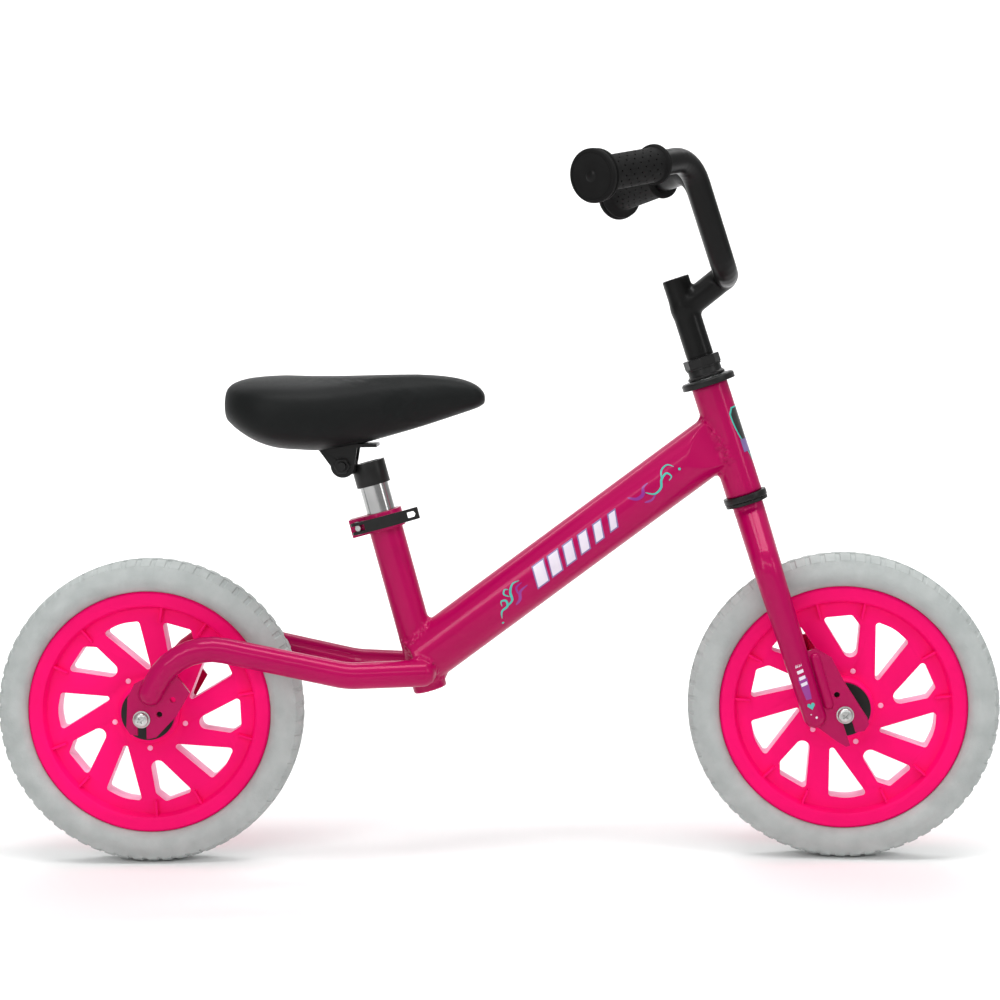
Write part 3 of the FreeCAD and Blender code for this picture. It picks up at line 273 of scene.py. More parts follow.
def grain_group():
    tree, given, result, place, link = new_group(
        "pebbled_grain",
        [("Scale", FLOAT, 900.0), ("Strength", FLOAT, 0.3), ("Height", FLOAT, 0.0003)],
        [("Normal", VECTOR), ("Creases", FLOAT)])
    warp = tree.nodes.new("ShaderNodeTexNoise")
    warp.inputs["Scale"].default_value = 300
    shift = tree.nodes.new("ShaderNodeMix")
    shift.data_type = "VECTOR"
    shift.inputs["Factor"].default_value = 0.004
    cells = tree.nodes.new("ShaderNodeTexVoronoi")
    cells.feature = "DISTANCE_TO_EDGE"
    ramp = tree.nodes.new("ShaderNodeValToRGB")
    ramp.color_ramp.elements[0].position = 0.0
    ramp.color_ramp.elements[1].position = 0.22
    bump = tree.nodes.new("ShaderNodeBump")
    link(place.outputs["Object"], shift.inputs["A"])
    link(warp.outputs["Color"], shift.inputs["B"])
    link(place.outputs["Object"], warp.inputs["Vector"])
    link(shift.outputs["Result"], cells.inputs["Vector"])
    link(given.outputs["Scale"], cells.inputs["Scale"])
    link(cells.outputs["Distance"], ramp.inputs["Fac"])
    link(ramp.outputs["Color"], bump.inputs["Height"])
    link(given.outputs["Strength"], bump.inputs["Strength"])
    link(given.outputs["Height"], bump.inputs["Distance"])
    link(bump.outputs["Normal"], result.inputs["Normal"])
    link(ramp.outputs["Color"], result.inputs["Creases"])
    return tree


CLOUDY, RELIEF, GRAIN = cloudy_group(), relief_group(), grain_group()
print("groups:", CLOUDY.name, RELIEF.name, GRAIN.name)

# %% [markdown]
# ## Finishes
# Every finish is one Principled shader fed by those groups: two tones of a colour, a roughness
# that drifts between two values, and relief or grain in its normal. Flat values that never
# change over the surface, such as metal or coat, are set on the shader itself.


# %% Materials
def finish(name, light, dark, roughness, clouds=20.0, relief=None, grain=None, **settings):
    """A material: two linear colours, a (smooth, rough) pair, and how its surface is broken."""
    material = bpy.data.materials.new(name)
    material.use_nodes = True
    tree = material.node_tree
    shader = tree.nodes["Principled BSDF"]
    tone = tree.nodes.new("ShaderNodeGroup")
    tone.node_tree = CLOUDY
    tone.inputs["Light"].default_value = (*light, 1)
    tone.inputs["Dark"].default_value = (*dark, 1)
    tone.inputs["Scale"].default_value = clouds
    tree.links.new(tone.outputs["Color"], shader.inputs["Base Color"])
    drift = tree.nodes.new("ShaderNodeMapRange")
    drift.inputs["To Min"].default_value = roughness[0]
    drift.inputs["To Max"].default_value = roughness[1]
    surface = tree.nodes.new("ShaderNodeGroup")
    surface.node_tree = GRAIN if grain else RELIEF
    for socket, value in zip(("Scale", "Strength", "Height"), grain or relief):
        surface.inputs[socket].default_value = value
    source = surface.outputs["Creases"] if grain else surface.outputs["Value"]
    if grain:
        drift.inputs["To Min"].default_value = roughness[1]
        drift.inputs["To Max"].default_value = roughness[0]
    tree.links.new(source, drift.inputs["Value"])
    tree.links.new(drift.outputs["Result"], shader.inputs["Roughness"])
    tree.links.new(surface.outputs["Normal"], shader.inputs["Normal"])
    for socket, value in settings.items():
        shader.inputs[socket.replace("_", " ")].default_value = value
    return material


def grey(value):
    return (value, value, value)


PAINT = finish("raspberry_paint", (0.42, 0.0, 0.084), (0.38, 0.0, 0.074), (0.30, 0.36), 7,
               relief=(120, 0.03, 0.0001), Metallic=0.1, Specular_IOR_Level=0.08,
               Coat_Weight=0.22, Coat_Roughness=0.05)
WHEEL = finish("pink_nylon", (0.95, 0.0, 0.155), (0.86, 0.0, 0.135), (0.46, 0.6), 14,
               relief=(700, 0.15, 0.0002), Specular_IOR_Level=0.12)
# Pale pink painted light: a painted highlight on the window walls, and painted background light on the
# boss plugs.
PAINTED_LIGHT_PINK = finish("painted_light_pink", (0.95, 0.42, 0.62), (0.90, 0.30, 0.52), (0.4, 0.55), 60,
                     relief=(500, 0.2, 0.0002))
FOAM = finish("tyre_foam", (0.43, 0.455, 0.447), (0.36, 0.385, 0.378), (0.62, 0.8), 48,
              relief=(330, 0.55, 0.0007), Specular_IOR_Level=0.3)
BAR_PAINT = finish("black_gloss", grey(0.0035), grey(0.0025), (0.30, 0.42), 15,
                   relief=(220, 0.05, 0.0001), Specular_IOR_Level=0.14, Coat_Weight=0.08,
                   Coat_Roughness=0.12)
STEEL_BLACK = finish("black_satin", grey(0.006), grey(0.004), (0.3, 0.45), 60,
                     relief=(900, 0.2, 0.0002), Specular_IOR_Level=0.3)
RUBBER = finish("grip_rubber", grey(0.010), grey(0.007), (0.6, 0.78), 40,
                relief=(1600, 0.35, 0.0002), Specular_IOR_Level=0.1)
VINYL = finish("saddle_vinyl", (0.0075, 0.0085, 0.0085), (0.0055, 0.0065, 0.0065), (0.42, 0.56),
               12, grain=(950, 0.14, 0.0002), Specular_IOR_Level=0.13)
PLASTIC_BLACK = finish("black_plastic", grey(0.007), grey(0.005), (0.4, 0.55), 40,
                       relief=(1200, 0.3, 0.0002), Specular_IOR_Level=0.3)
CHROME = finish("chrome", grey(0.46), grey(0.38), (0.10, 0.18), 30,
                relief=(500, 0.05, 0.0001), Metallic=1.0)
ZINC = finish("zinc_plate", (0.60, 0.61, 0.60), (0.42, 0.43, 0.42), (0.22, 0.42), 160,
              relief=(1500, 0.3, 0.0002), Metallic=1.0)
SWEEP = finish("pale_floor", grey(0.88), grey(0.86), (0.85, 0.95), 2, relief=(20, 0.02, 0.0001))
sweep.data.materials.append(SWEEP)

CAD_FINISH = {
    "frame_paint": PAINT, "black_steel": STEEL_BLACK, "bar_paint": BAR_PAINT,
    "bright_steel": ZINC, "post_chrome": CHROME, "wheel_plastic": WHEEL, "tyre_foam": FOAM,
    "black_plastic": PLASTIC_BLACK, "grip_rubber": RUBBER, "saddle_skin": VINYL,
    "saddle_base": PLASTIC_BLACK,
}
slot_of = {part["node"]: part["material_slot"] for part in frame["record"]["subparts"]}
for name, obj in nodes.items():
    obj.data.materials.clear()
    obj.data.materials.append(CAD_FINISH[slot_of[name]])
for name in ("front_spacers", "rear_spacers", "saddle_clamp_nuts", "saddle_clamp_bolt",
             "stem_bolt"):
    nodes[name].data.materials[0] = STEEL_BLACK
nodes["seat_collar"].data.materials[0] = PAINT
print("materials:", len(bpy.data.materials))

# %% [markdown]
# ## Welded tubes
# The frame's tubes are welded and then painted, so where two meet there is a soft lumpy bead and
# no crease. One way is to cut and bevel every joint by hand. Here the tubes are drawn as simple
# rods, joined and remeshed to one skin, and each point of the skin is then slid onto the true
# tube surface with the corners between tubes filled in. That keeps the tubes perfectly round
# and gives every joint its bead.


# %% Distance to a rod, and the filled corner between rods
PINCH_LENGTH = 38 * MM
PINCH_HALF_WIDTH = 15 * MM
RIM_EDGE = 1.2 * MM


def bent(points, radius, steps=7):
    """The points of a bent tube's centre line, its corners turned into arcs."""
    points = [Vector(p) for p in points]
    line = [points[0]]
    for before, corner, after in zip(points, points[1:], points[2:]):
        arriving, leaving = (corner - before).normalized(), (after - corner).normalized()
        half_turn = arriving.angle(leaving) / 2
        centre = corner + (leaving - arriving).normalized() * (radius / math.cos(half_turn))
        first = corner - arriving * radius * math.tan(half_turn) - centre
        for step in range(steps + 1):
            swing = arriving.angle(leaving) * step / steps
            turned_radius = Matrix.Rotation(swing, 4, arriving.cross(leaving)) @ first
            line.append(centre + turned_radius)
    line.append(points[-1])
    return line


def rod_distance(p, line, first_radius, last_radius):
    """How far each point is outside a round-ended rod that follows the line."""
    line = np.array([tuple(v) for v in line])
    lengths = np.linalg.norm(line[1:] - line[:-1], axis=1)
    along = np.concatenate(([0], np.cumsum(lengths))) / lengths.sum()
    best = np.full(len(p), 1e9)
    for number, length in enumerate(lengths):
        start, run = line[number], line[number + 1] - line[number]
        t = np.clip((p - start) @ run / length ** 2, 0, 1)
        radius = first_radius + (last_radius - first_radius) * (
            along[number] + t * (along[number + 1] - along[number]))
        best = np.minimum(best, np.linalg.norm(p - start - t[:, None] * run, axis=1) - radius)
    return best


def can_distance(p, line, radius, edge):
    """How far each point is outside a flat-ended cylinder with slightly rounded rims."""
    start, end = (np.array(tuple(v)) for v in line)
    axis = (end - start) / np.linalg.norm(end - start)
    offset = p - (start + end) / 2
    height = offset @ axis
    around = np.linalg.norm(offset - height[:, None] * axis, axis=1) - (radius - edge)
    height = np.abs(height) - (np.linalg.norm(end - start) / 2 - edge)
    outside = np.hypot(np.maximum(around, 0), np.maximum(height, 0))
    return outside + np.minimum(np.maximum(around, height), 0) - edge


def pinched_distance(p, line, radius):
    """A cylinder squeezed flat towards its far end, where it meets a thinner tube."""
    start, end = (np.array(tuple(v)) for v in line)
    length = np.linalg.norm(end - start)
    left = length - (p - start) @ (end - start) / length
    squeeze = np.clip(1 - left / PINCH_LENGTH, 0, 1)
    half = radius - (radius - PINCH_HALF_WIDTH) * squeeze ** 2 * (3 - 2 * squeeze)
    return np.maximum(can_distance(p, line, radius, RIM_EDGE), np.abs(p[:, 1]) - half)


def filled(p, rods, fill):
    """The smallest distance, with the corner between two rods filled by a fillet."""
    total = None
    for rod in rods:
        if rod[0] == "rod":
            distance = rod_distance(p, rod[1], rod[2], rod[3])
        elif rod[0] == "pinched":
            distance = pinched_distance(p, rod[1], rod[2])
        else:
            distance = can_distance(p, rod[1], rod[2], RIM_EDGE)
        if total is None:
            total, seam = distance, np.full(len(p), 1e9)
            continue
        gap = np.abs(total - distance)
        seam = np.minimum(np.maximum(np.abs(total), np.abs(distance)), seam)
        total = np.minimum(total, distance) - np.maximum(fill - gap, 0) ** 2 / (4 * fill)
    return total, seam


# %% A rough rod
def rough_rod(rod):
    """A disc extruded from station to station along the rod's line."""
    line = [Vector(v) for v in rod[1]]
    radii = [rod[2] + ((rod[3] if rod[0] == "rod" else rod[2]) - rod[2]) * n / (len(line) - 1)
             for n in range(len(line))]
    if rod[0] == "rod":
        line[0] = line[0] - (line[1] - line[0]).normalized() * radii[0] * 0.8
        line[-1] = line[-1] + (line[-1] - line[-2]).normalized() * radii[-1] * 0.8
    heading = (line[1] - line[0]).normalized()
    deselect()
    bpy.ops.mesh.primitive_circle_add(vertices=24, radius=radii[0], fill_type="NGON",
                                      location=line[0],
                                      rotation=heading.to_track_quat("Z", "Y").to_euler())
    bpy.ops.object.transform_apply()
    bpy.ops.object.mode_set(mode="EDIT")
    bpy.ops.mesh.select_mode(type="FACE")
    bpy.ops.mesh.select_all(action="SELECT")
    for number in range(1, len(line)):
        bpy.ops.mesh.extrude_region_move(
            TRANSFORM_OT_translate={"value": line[number] - line[number - 1]})
        ahead = line[min(number + 1, len(line) - 1)] - line[min(number, len(line) - 2)]
        facing = (ahead.normalized() + (line[number] - line[number - 1]).normalized()).normalized()
        twist = heading.rotation_difference(facing)
        if twist.angle > 1e-4:
            bpy.ops.object.mode_set(mode="OBJECT")
            for vertex in (v for v in bpy.context.object.data.vertices if v.select):
                vertex.co = line[number] + twist @ (vertex.co - line[number])
            bpy.ops.object.mode_set(mode="EDIT")
        heading = facing
        grow = radii[number] / radii[number - 1]
        bpy.ops.transform.resize(value=(grow, grow, grow), center_override=line[number])
    bpy.ops.mesh.select_all(action="SELECT")
    bpy.ops.mesh.normals_make_consistent(inside=False)
    bpy.ops.object.mode_set(mode="OBJECT")
    return bpy.context.object


# %% One skin over several rods
def welded(name, rods, voxel, fill, ripple, material, body, replaced):
    """Rods joined into one welded piece, with a rippled bead of the fill's size at each joint."""
    skin = joined([rough_rod(rod) for rod in rods], name)
    remesh = skin.modifiers.new("one_skin", "REMESH")
    remesh.mode = "VOXEL"
    remesh.voxel_size = voxel
    bpy.ops.object.modifier_apply(modifier=remesh.name)
    p = np.zeros(len(skin.data.vertices) * 3)
    skin.data.vertices.foreach_get("co", p)
    p = p.reshape(-1, 3)
    probe = 2e-5
    for _ in range(3):
        distance, seam = filled(p, rods, fill)
        slope = np.stack([filled(p + np.eye(3)[k] * probe, rods, fill)[0] - distance
                          for k in range(3)], axis=1) / probe
        steep = np.maximum((slope ** 2).sum(axis=1), 0.2)
        p = p - (distance / steep)[:, None] * slope
    bead = np.clip(1 - seam / (fill * 0.75), 0, 1)
    lumps = np.zeros(len(p))
    for number in np.nonzero(bead > 0.02)[0]:
        lumps[number] = noise.noise(Vector(p[number]) * 320)
    p = p + slope * (lumps * bead * ripple)[:, None]
    skin.data.vertices.foreach_set("co", p.ravel())
    skin.data.update()
    skin.data.materials.clear()
    skin.data.materials.append(material)
    choose(skin)
    bpy.ops.object.shade_smooth()
    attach(skin, body)
    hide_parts(*replaced)
    print(name, len(skin.data.polygons), "faces")
    return skin


def local(frame_matrix, *points):
    """Points given in millimetres in a frame, as places on the bike."""
    return [frame_matrix @ (Vector(p) * MM) for p in points]


# %% [markdown]
# ## The frame
# Five tubes: a short leaning head tube, a fat down tube, the seat tube, and two stays that start
# beside the seat tube, bow round the tyre and drop to the rear axle.

# %% Frame tubes
STAY_POINTS = ((-67, 23.5, 180.5), (-135, 42, 181.5), (-291, 49, 217), (-316, 47.7, 168))
down_direction = Vector((math.cos(math.radians(36)), 0, math.sin(math.radians(36))))
down_low = Vector((-69, 0, 190.5)) * MM
frame_rods = [
    ("can", local(HEAD, (0, 0, 0), (0, 0, 107)), 17 * MM),
    ("can", local(SEAT, (0, 0, -174), (0, 0, 0)), 15.9 * MM),
    ("pinched", (down_low - down_direction * 2 * MM, down_low + down_direction * 344 * MM),
     25.4 * MM),
]
for side in (-1, 1):
    route = bent([Vector((x, side * y, z)) * MM for x, y, z in STAY_POINTS], 58 * MM)
    frame_rods.append(("rod", route, 12.6 * MM, 11.4 * MM))
frame_tubes = welded("frame_tubes", frame_rods, 1.6 * MM, 6 * MM, 5 * MM, PAINT, "frame",
                     ["head_tube", "seat_tube", "down_tube", "right_stay", "left_stay"])

# %% [markdown]
# ## The fork
# A sleeve under the headset carries two legs. They spread over the tyre, then run straight down
# and taper towards the axle.

# %% Fork legs
fork_rods = [("can", local(STEER, (0, 0, -20), (0, 0, -9)), 14.4 * MM)]
for side in (-1, 1):
    points = local(STEER, (0, side * 4, -23), (0, side * 42, -64), (0, side * 43.2, -211))
    fork_rods.append(("rod", bent(points, 26 * MM), 14.3 * MM, 10.4 * MM))
fork_legs = welded("fork_legs", fork_rods, 1.4 * MM, 1.6 * MM, 0.4 * MM, PAINT, "fork",
                   ["fork_crown", "right_fork_leg", "left_fork_leg"])

# %% [markdown]
# ## Stem and bar
# The stem, the short tube forward and the bar are one black weldment.

# %% Stem and handlebar
bar_points = [(-31, 211, 308), (45, 89.5, 304.5), (45, 44, 198)]
bar_line = bar_points + [(x, -y, z) for x, y, z in reversed(bar_points)]
bar_rods = [
    ("can", local(STEER, (0, 0, 134.2), (0, 0, 209.9)), 12.65 * MM),
    ("rod", local(STEER, (0, 0, 181), (40, 0, 196.1)), 12.2 * MM, 12.2 * MM),
    ("rod", bent(local(STEER, *bar_line), 36 * MM), 11.1 * MM, 11.1 * MM),
]
bar_and_stem = welded("bar_and_stem", bar_rods, 1.5 * MM, 4 * MM, 0.25 * MM, BAR_PAINT, "bars",
                      ["stem_extension", "stem_bolt", "handlebar"])

# %% [markdown]
# ## Turned pieces
# Bolts, grips, tyres and rings are all round about an axis, so one helper makes them: it starts
# from a circle and extrudes and widens ring after ring, as on a lathe. A second helper picks
# faces by their height and by the angle they sit at, ready for the pattern of each piece.


# %% Lathe, picking and placing
def turned(name, profile, steps=64, closed=False):
    """Rings of (radius, height) in millimetres, each extruded from the one before."""
    deselect()
    radius, height = profile[0]
    bpy.ops.mesh.primitive_circle_add(vertices=steps, radius=radius * MM,
                                      fill_type="NOTHING" if closed else "NGON",
                                      location=(0, 0, height * MM))
    obj = bpy.context.object
    bpy.ops.object.transform_apply()
    obj.name = obj.data.name = name
    bpy.ops.object.mode_set(mode="EDIT")
    bpy.ops.mesh.select_mode(type="EDGE" if closed else "FACE")
    bpy.ops.mesh.select_all(action="SELECT")
    for (was, low), (now, high) in zip(profile, profile[1:]):
        extrude = bpy.ops.mesh.extrude_edges_move if closed else bpy.ops.mesh.extrude_region_move
        extrude(TRANSFORM_OT_translate={"value": (0, 0, (high - low) * MM)})
        bpy.ops.transform.resize(value=(now / was, now / was, 1),
                                 center_override=(0, 0, high * MM))
    bpy.ops.mesh.select_all(action="SELECT")
    bpy.ops.mesh.remove_doubles(threshold=1e-6)
    bpy.ops.mesh.normals_make_consistent(inside=False)
    bpy.ops.mesh.select_all(action="DESELECT")
    bpy.ops.object.mode_set(mode="OBJECT")
    return obj


def pick(obj, chooser):
    """Selects the faces for which chooser(radius, angle, height, face) is true; angle in turns."""
    choose(obj)
    obj.data.vertices.foreach_set("select", [False] * len(obj.data.vertices))
    obj.data.edges.foreach_set("select", [False] * len(obj.data.edges))
    count = 0
    for face in obj.data.polygons:
        x, y, z = face.center / MM
        face.select = bool(chooser(math.hypot(x, y), math.atan2(y, x) / math.tau % 1, z, face))
        count += face.select
    bpy.ops.object.mode_set(mode="EDIT")
    bpy.ops.mesh.select_mode(type="FACE")
    return count


def edit_done():
    """Leaves edit mode."""
    bpy.ops.object.mode_set(mode="OBJECT")


def rounded(obj, width, angle=35, segments=2):
    """Rounds the sharp edges of a piece and applies it."""
    choose(obj)
    bevel = obj.modifiers.new("rounded", "BEVEL")
    bevel.width = width * MM
    bevel.segments = segments
    bevel.limit_method = "ANGLE"
    bevel.angle_limit = math.radians(angle)
    bpy.ops.object.modifier_apply(modifier=bevel.name)


def placed(obj, matrix, material, body, smooth=35):
    """Carries a piece to its place, gives it its finish and its body."""
    choose(obj)
    obj.matrix_world = matrix @ obj.matrix_world
    bpy.ops.object.transform_apply()
    bpy.ops.object.mode_set(mode="EDIT")
    bpy.ops.mesh.select_all(action="SELECT")
    bpy.ops.mesh.normals_make_consistent(inside=False)
    bpy.ops.object.mode_set(mode="OBJECT")
    bpy.ops.object.shade_smooth_by_angle(angle=math.radians(smooth))
    obj.data.materials.clear()
    obj.data.materials.append(material)
    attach(obj, body)
    return obj


def twin(obj, name):
    """A second copy with its own mesh."""
    other = obj.copy()
    other.data = obj.data.copy()
    other.name = other.data.name = name
    bpy.context.scene.collection.objects.link(other)
    return other


# %% [markdown]
# ## Foam tyres
# The tyres are solid foam, so their skin is soft grey and cloudy. Across the tread run blocks
# that meet in a zigzag, and their ends notch both shoulders. The tyre is turned from its cross
# section in many steps, and blocks are then raised from groups of its faces.

# %% Tyres
TREAD_BLOCKS = 64
half_tyre = [(142.4, 3.0), (142.2, 9.0), (140.6, 14.0), (137.4, 18.6), (132.0, 22.0),
             (126.0, 23.3), (120.0, 22.4), (116.2, 19.4), (114.4, 16.0), (113.8, 10.0)]
tyre_profile = half_tyre + [(r, -z) for r, z in reversed(half_tyre)] + half_tyre[:1]
tyre = turned("front_foam_tyre", tyre_profile, steps=TREAD_BLOCKS * 4, closed=True)


def tread_block(radius, angle, z, face):
    """True on the faces of a block; the two halves of the tread are half a block apart."""
    if radius < 137:
        return False
    shift = 0.5 if z > 0 else 0.0
    place = (angle * TREAD_BLOCKS + shift) % 1
    return place < 0.74 and abs(z) > 4.0


raised = pick(tyre, tread_block)
bpy.ops.mesh.inset(thickness=0.9 * MM, depth=1.0 * MM, use_individual=False)
edit_done()
pick(tyre, lambda radius, angle, z, face: radius > 141.5 and abs(z) < 2.9)
bpy.ops.mesh.inset(thickness=0.4 * MM, depth=1.2 * MM, use_individual=False)
edit_done()
choose(tyre)
OUTER_RADIUS = 143.9
reach = max(math.hypot(v.co.x, v.co.y) for v in tyre.data.vertices)
shrink = OUTER_RADIUS * MM / reach
bpy.ops.object.mode_set(mode="EDIT")
bpy.ops.mesh.select_all(action="SELECT")
bpy.ops.transform.resize(value=(shrink, shrink, 1))
edit_done()
rear_tyre = twin(tyre, "rear_foam_tyre")
placed(tyre, FRONT_WHEEL, FOAM, "front_wheel_set", smooth=32)
placed(rear_tyre, REAR_WHEEL, FOAM, "rear_wheel_set", smooth=32)
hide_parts("front_tyre")
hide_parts("rear_tyre")
print("tyre blocks:", raised, "faces raised; reach", round(reach / MM, 2), "mm")

# %% [markdown]
# ## Moulded wheels
# The wheel is one nylon moulding with ten windows. A copy of the measured wheel is merged into
# one closed mesh, so that its edges can be rounded for good, and the thin walls of the windows get
# a paler pink: a painted highlight for the light that catches their edges and shines through the
# thin nylon. Short ribs stiffen the step between web and rim, and the five screw bosses near the hub
# are filled with plugs of the same pale pink: painted light for the bright background seen through them.

# %% Wheel mouldings
def moulding(node, wheel_frame, body):
    """The wheel of a node as one closed mesh, edges rounded and window walls in painted-highlight pink."""
    wheel = twin(nodes[node], node + "_moulding")
    wheel.parent = None
    wheel.matrix_world = Matrix.Identity(4)
    choose(wheel)
    bpy.ops.object.mode_set(mode="EDIT")
    bpy.ops.mesh.select_all(action="SELECT")
    bpy.ops.mesh.remove_doubles(threshold=1e-6)
    bpy.ops.mesh.dissolve_limited(angle_limit=math.radians(1))
    bpy.ops.object.mode_set(mode="OBJECT")
    if wheel.data.attributes.get("custom_normal"):
        bpy.ops.mesh.customdata_custom_splitnormals_clear()
    rounded(wheel, 0.6, angle=40)
    back = wheel_frame.inverted()
    spin = back.to_3x3()
    wheel.data.materials.clear()
    wheel.data.materials.append(WHEEL)
    wheel.data.materials.append(PAINTED_LIGHT_PINK)
    walls = 0
    for face in wheel.data.polygons:
        x, y, z = (back @ face.center) / MM
        radius = math.hypot(x, y)
        upright = abs((spin @ face.normal).z)
        # The window wall faces get the pale pink of painted highlight and shine-through light.
        if upright < 0.85 and 32 < radius < 88.5 and abs(z) < 10.5:
            face.material_index = 1
            walls += 1
    bpy.ops.object.shade_smooth_by_angle(angle=math.radians(35))
    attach(wheel, body)
    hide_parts(node)
    print(node, len(wheel.data.polygons), "faces,", walls, "window wall faces")
    return wheel


moulding("front_wheel", FRONT_WHEEL, "front_wheel_set")
moulding("rear_wheel", REAR_WHEEL, "rear_wheel_set")

# %% Rim ribs and boss plugs
RIB_SIZE = (15.5, 2.4, 6.5)
RIB_ANGLES = (78.5, 104.0)
RIB_RADIUS, RIB_HEIGHT = 92.8, 10.2
PLUG_ANGLE, PLUG_RADIUS = 74.5, 35
SECTORS, SECTOR_DEGREES = 5, 72

for prefix, wheel_frame in (("front", FRONT_WHEEL), ("rear", REAR_WHEEL)):
    body = prefix + "_wheel_set"
    ribs = []
    for sector in range(SECTORS):
        for angle in RIB_ANGLES:
            for face_side in (-1, 1):
                deselect()
                bpy.ops.mesh.primitive_cube_add(size=MM)
                rib = bpy.context.object
                rib.scale = RIB_SIZE
                bpy.ops.object.transform_apply()
                rib.location = Vector((RIB_RADIUS, 0, face_side * RIB_HEIGHT)) * MM
                bpy.ops.object.transform_apply()
                rib.matrix_world = turn(angle + SECTOR_DEGREES * sector, "Z")
                bpy.ops.object.transform_apply()
                ribs.append(rib)
    rib_set = joined(ribs, prefix + "_rim_ribs")
    rounded(rib_set, 0.8, segments=3)
    placed(rib_set, wheel_frame, WHEEL, body)
    plugs = []
    for sector in range(SECTORS):
        plug = turned(f"{prefix}_boss_plug_{sector}",
                      [(2.0, -10.6), (2.5, -10.2), (2.5, 10.2), (2.0, 10.6)], steps=20)
        angle = math.radians(PLUG_ANGLE + SECTOR_DEGREES * sector)
        plug.location = Vector((math.cos(angle), math.sin(angle), 0)) * PLUG_RADIUS * MM
        bpy.ops.object.transform_apply()
        plugs.append(plug)
    plug_set = joined(plugs, prefix + "_boss_plugs")
    # The plugs take the same pale pink, painted light standing in for the bright background seen through
    # the boss holes.
    placed(plug_set, wheel_frame, PAINTED_LIGHT_PINK, body)
print("ribs:", len(rib_set.data.polygons), "faces a wheel")

# %% [markdown]
# ## Pressed ribs on the fork plates
# A raised rib is pressed into each fork plate beside the leg, to stiffen it. It is turned as a
# round-ended rod and sunk into the plate, so that about half of it stands proud.

# %% Fork plate ribs
for side, label in ((-1, "right"), (1, "left")):
    rib = turned(label + "_plate_rib", [(1.6, 0), (3.4, 0.9), (4.6, 2.6), (5.0, 5.0), (5.0, 49.0),
                                        (4.6, 51.4), (3.4, 53.1), (1.6, 54.0)], steps=32)
    placed(rib, STEER @ move(15.2, side * 43.4, -208) @ turn(1.5, "Y"), PAINT, "fork", smooth=60)
print("plate rib:", len(rib.data.polygons), "faces")

# %% [markdown]
# ## Axle bolts
# Each axle is held by a bright round-headed bolt with a cross recess over a plain washer. The
# head is turned, and the cross is cut with a boolean of two crossed blades.

# %% Axle bolts
HEAD_PROFILE = [(6.6, 0), (6.8, 0.4), (6.8, 1.9), (6.3, 3.0), (5.2, 3.9), (3.6, 4.4), (1.2, 4.58)]


def bolt_head(name, height, side):
    """A round head with a cross recess, standing at one end of an axle along Z."""
    head = turned(name, HEAD_PROFILE, steps=48)
    deselect()
    bpy.ops.mesh.primitive_cube_add(size=1)
    blade = bpy.context.object
    blade.scale = Vector((6.2, 1.5, 3.4)) * MM
    blade.location.z = 4.6 * MM
    bpy.ops.object.transform_apply()
    bpy.ops.object.mode_set(mode="EDIT")
    bpy.ops.mesh.select_all(action="SELECT")
    bpy.ops.mesh.duplicate()
    bpy.ops.transform.rotate(value=math.pi / 2, orient_axis="Z",
                             center_override=(0, 0, 4.6 * MM))
    bpy.ops.object.mode_set(mode="OBJECT")
    choose(head)
    recess = head.modifiers.new("cross_recess", "BOOLEAN")
    recess.object = blade
    recess.use_self = True
    bpy.ops.object.modifier_apply(modifier=recess.name)
    bpy.data.objects.remove(blade)
    rounded(head, 0.18, angle=40)
    facing = turn(180, "X") if side < 0 else turn(30, "Z")
    return placed(head, facing @ move(0, 0, height), ZINC, "frame" if "rear" in name else "fork")


for prefix, axle, height, body in (("front", FRONT_AXLE, 46.5, "fork"),
                                   ("rear", REAR_AXLE, 50.7, "frame")):
    heads = [bolt_head(f"{prefix}_bolt_{name}", height, side)
             for name, side in (("right", 1), ("left", -1))]
    for head in heads:
        choose(head)
        head.parent = None
        head.matrix_world = axle
        bpy.ops.object.transform_apply()
        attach(head, body)
        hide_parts(prefix + "_axle_bolts")
print("bolt head:", len(head.data.polygons), "faces")

# %% [markdown]
# ## Grips
# Soft rubber grips, each with a wide domed disc at its outer end, a second ring behind it, rows
# of small dimples round the body and a lip at its inner end. The body is turned with a fine net
# of faces, and every dimple is one face pressed in.

# %% Grips
GRIP_LENGTH = 98
grip_profile = [(11.2, 0), (16.2, 0), (17.2, 0.8), (17.2, 3.4), (16.4, 4.4), (15.0, 5.0)]
grip_profile += [(14.7, 6 + 2 * n) for n in range(38)]
grip_profile += [(15.4, 82.5), (17.2, 84.6), (20.6, 85.6), (21.6, 86.6), (21.6, 88.6),
                 (20.6, 89.4), (18.6, 89.7), (18.6, 91.3), (21.4, 91.6), (22.3, 92.4),
                 (22.3, 95.2), (21.4, 96.3), (19.6, 96.7), (19.0, 96.2), (18.2, 96.7),
                 (12.0, 97.6), (3.0, 98.0), (1.9, 98.0), (1.7, 97.7), (1.6, 94.0)]
grip = turned("right_rubber_grip", grip_profile, steps=64)


def dimple(radius, angle, z, face):
    """True on every sixth face of every third row, each row of dimples shifted by half a step."""
    row = (z - 11) / 2
    if radius > 15 or radius < 13 or z < 12 or z > 78 or abs(row - round(row)) > 0.3:
        return False
    row = round(row)
    column = int(angle * 64) % 64
    return row % 3 == 1 and (column + (row // 3 % 2) * 3) % 6 == 0


dimples = pick(grip, dimple)
bpy.ops.mesh.inset(thickness=0.12 * MM, depth=-1.0 * MM, use_individual=True)
edit_done()
left_grip = twin(grip, "left_rubber_grip")
for obj, side in ((grip, -1), (left_grip, 1)):
    outer_end = STEER @ (Vector((-31, side * 211, 308)) * MM)
    inner_end = STEER @ (Vector((45, side * 89.5, 304.5)) * MM)
    outward = (outer_end - inner_end).normalized()
    start = outer_end + outward * (10 - GRIP_LENGTH) * MM
    placed(obj, Matrix.Translation(start) @ outward.to_track_quat("Z", "X").to_matrix().to_4x4(),
           RUBBER, "bars")
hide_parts("right_grip")
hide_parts("left_grip")
print("grip dimples:", dimples)

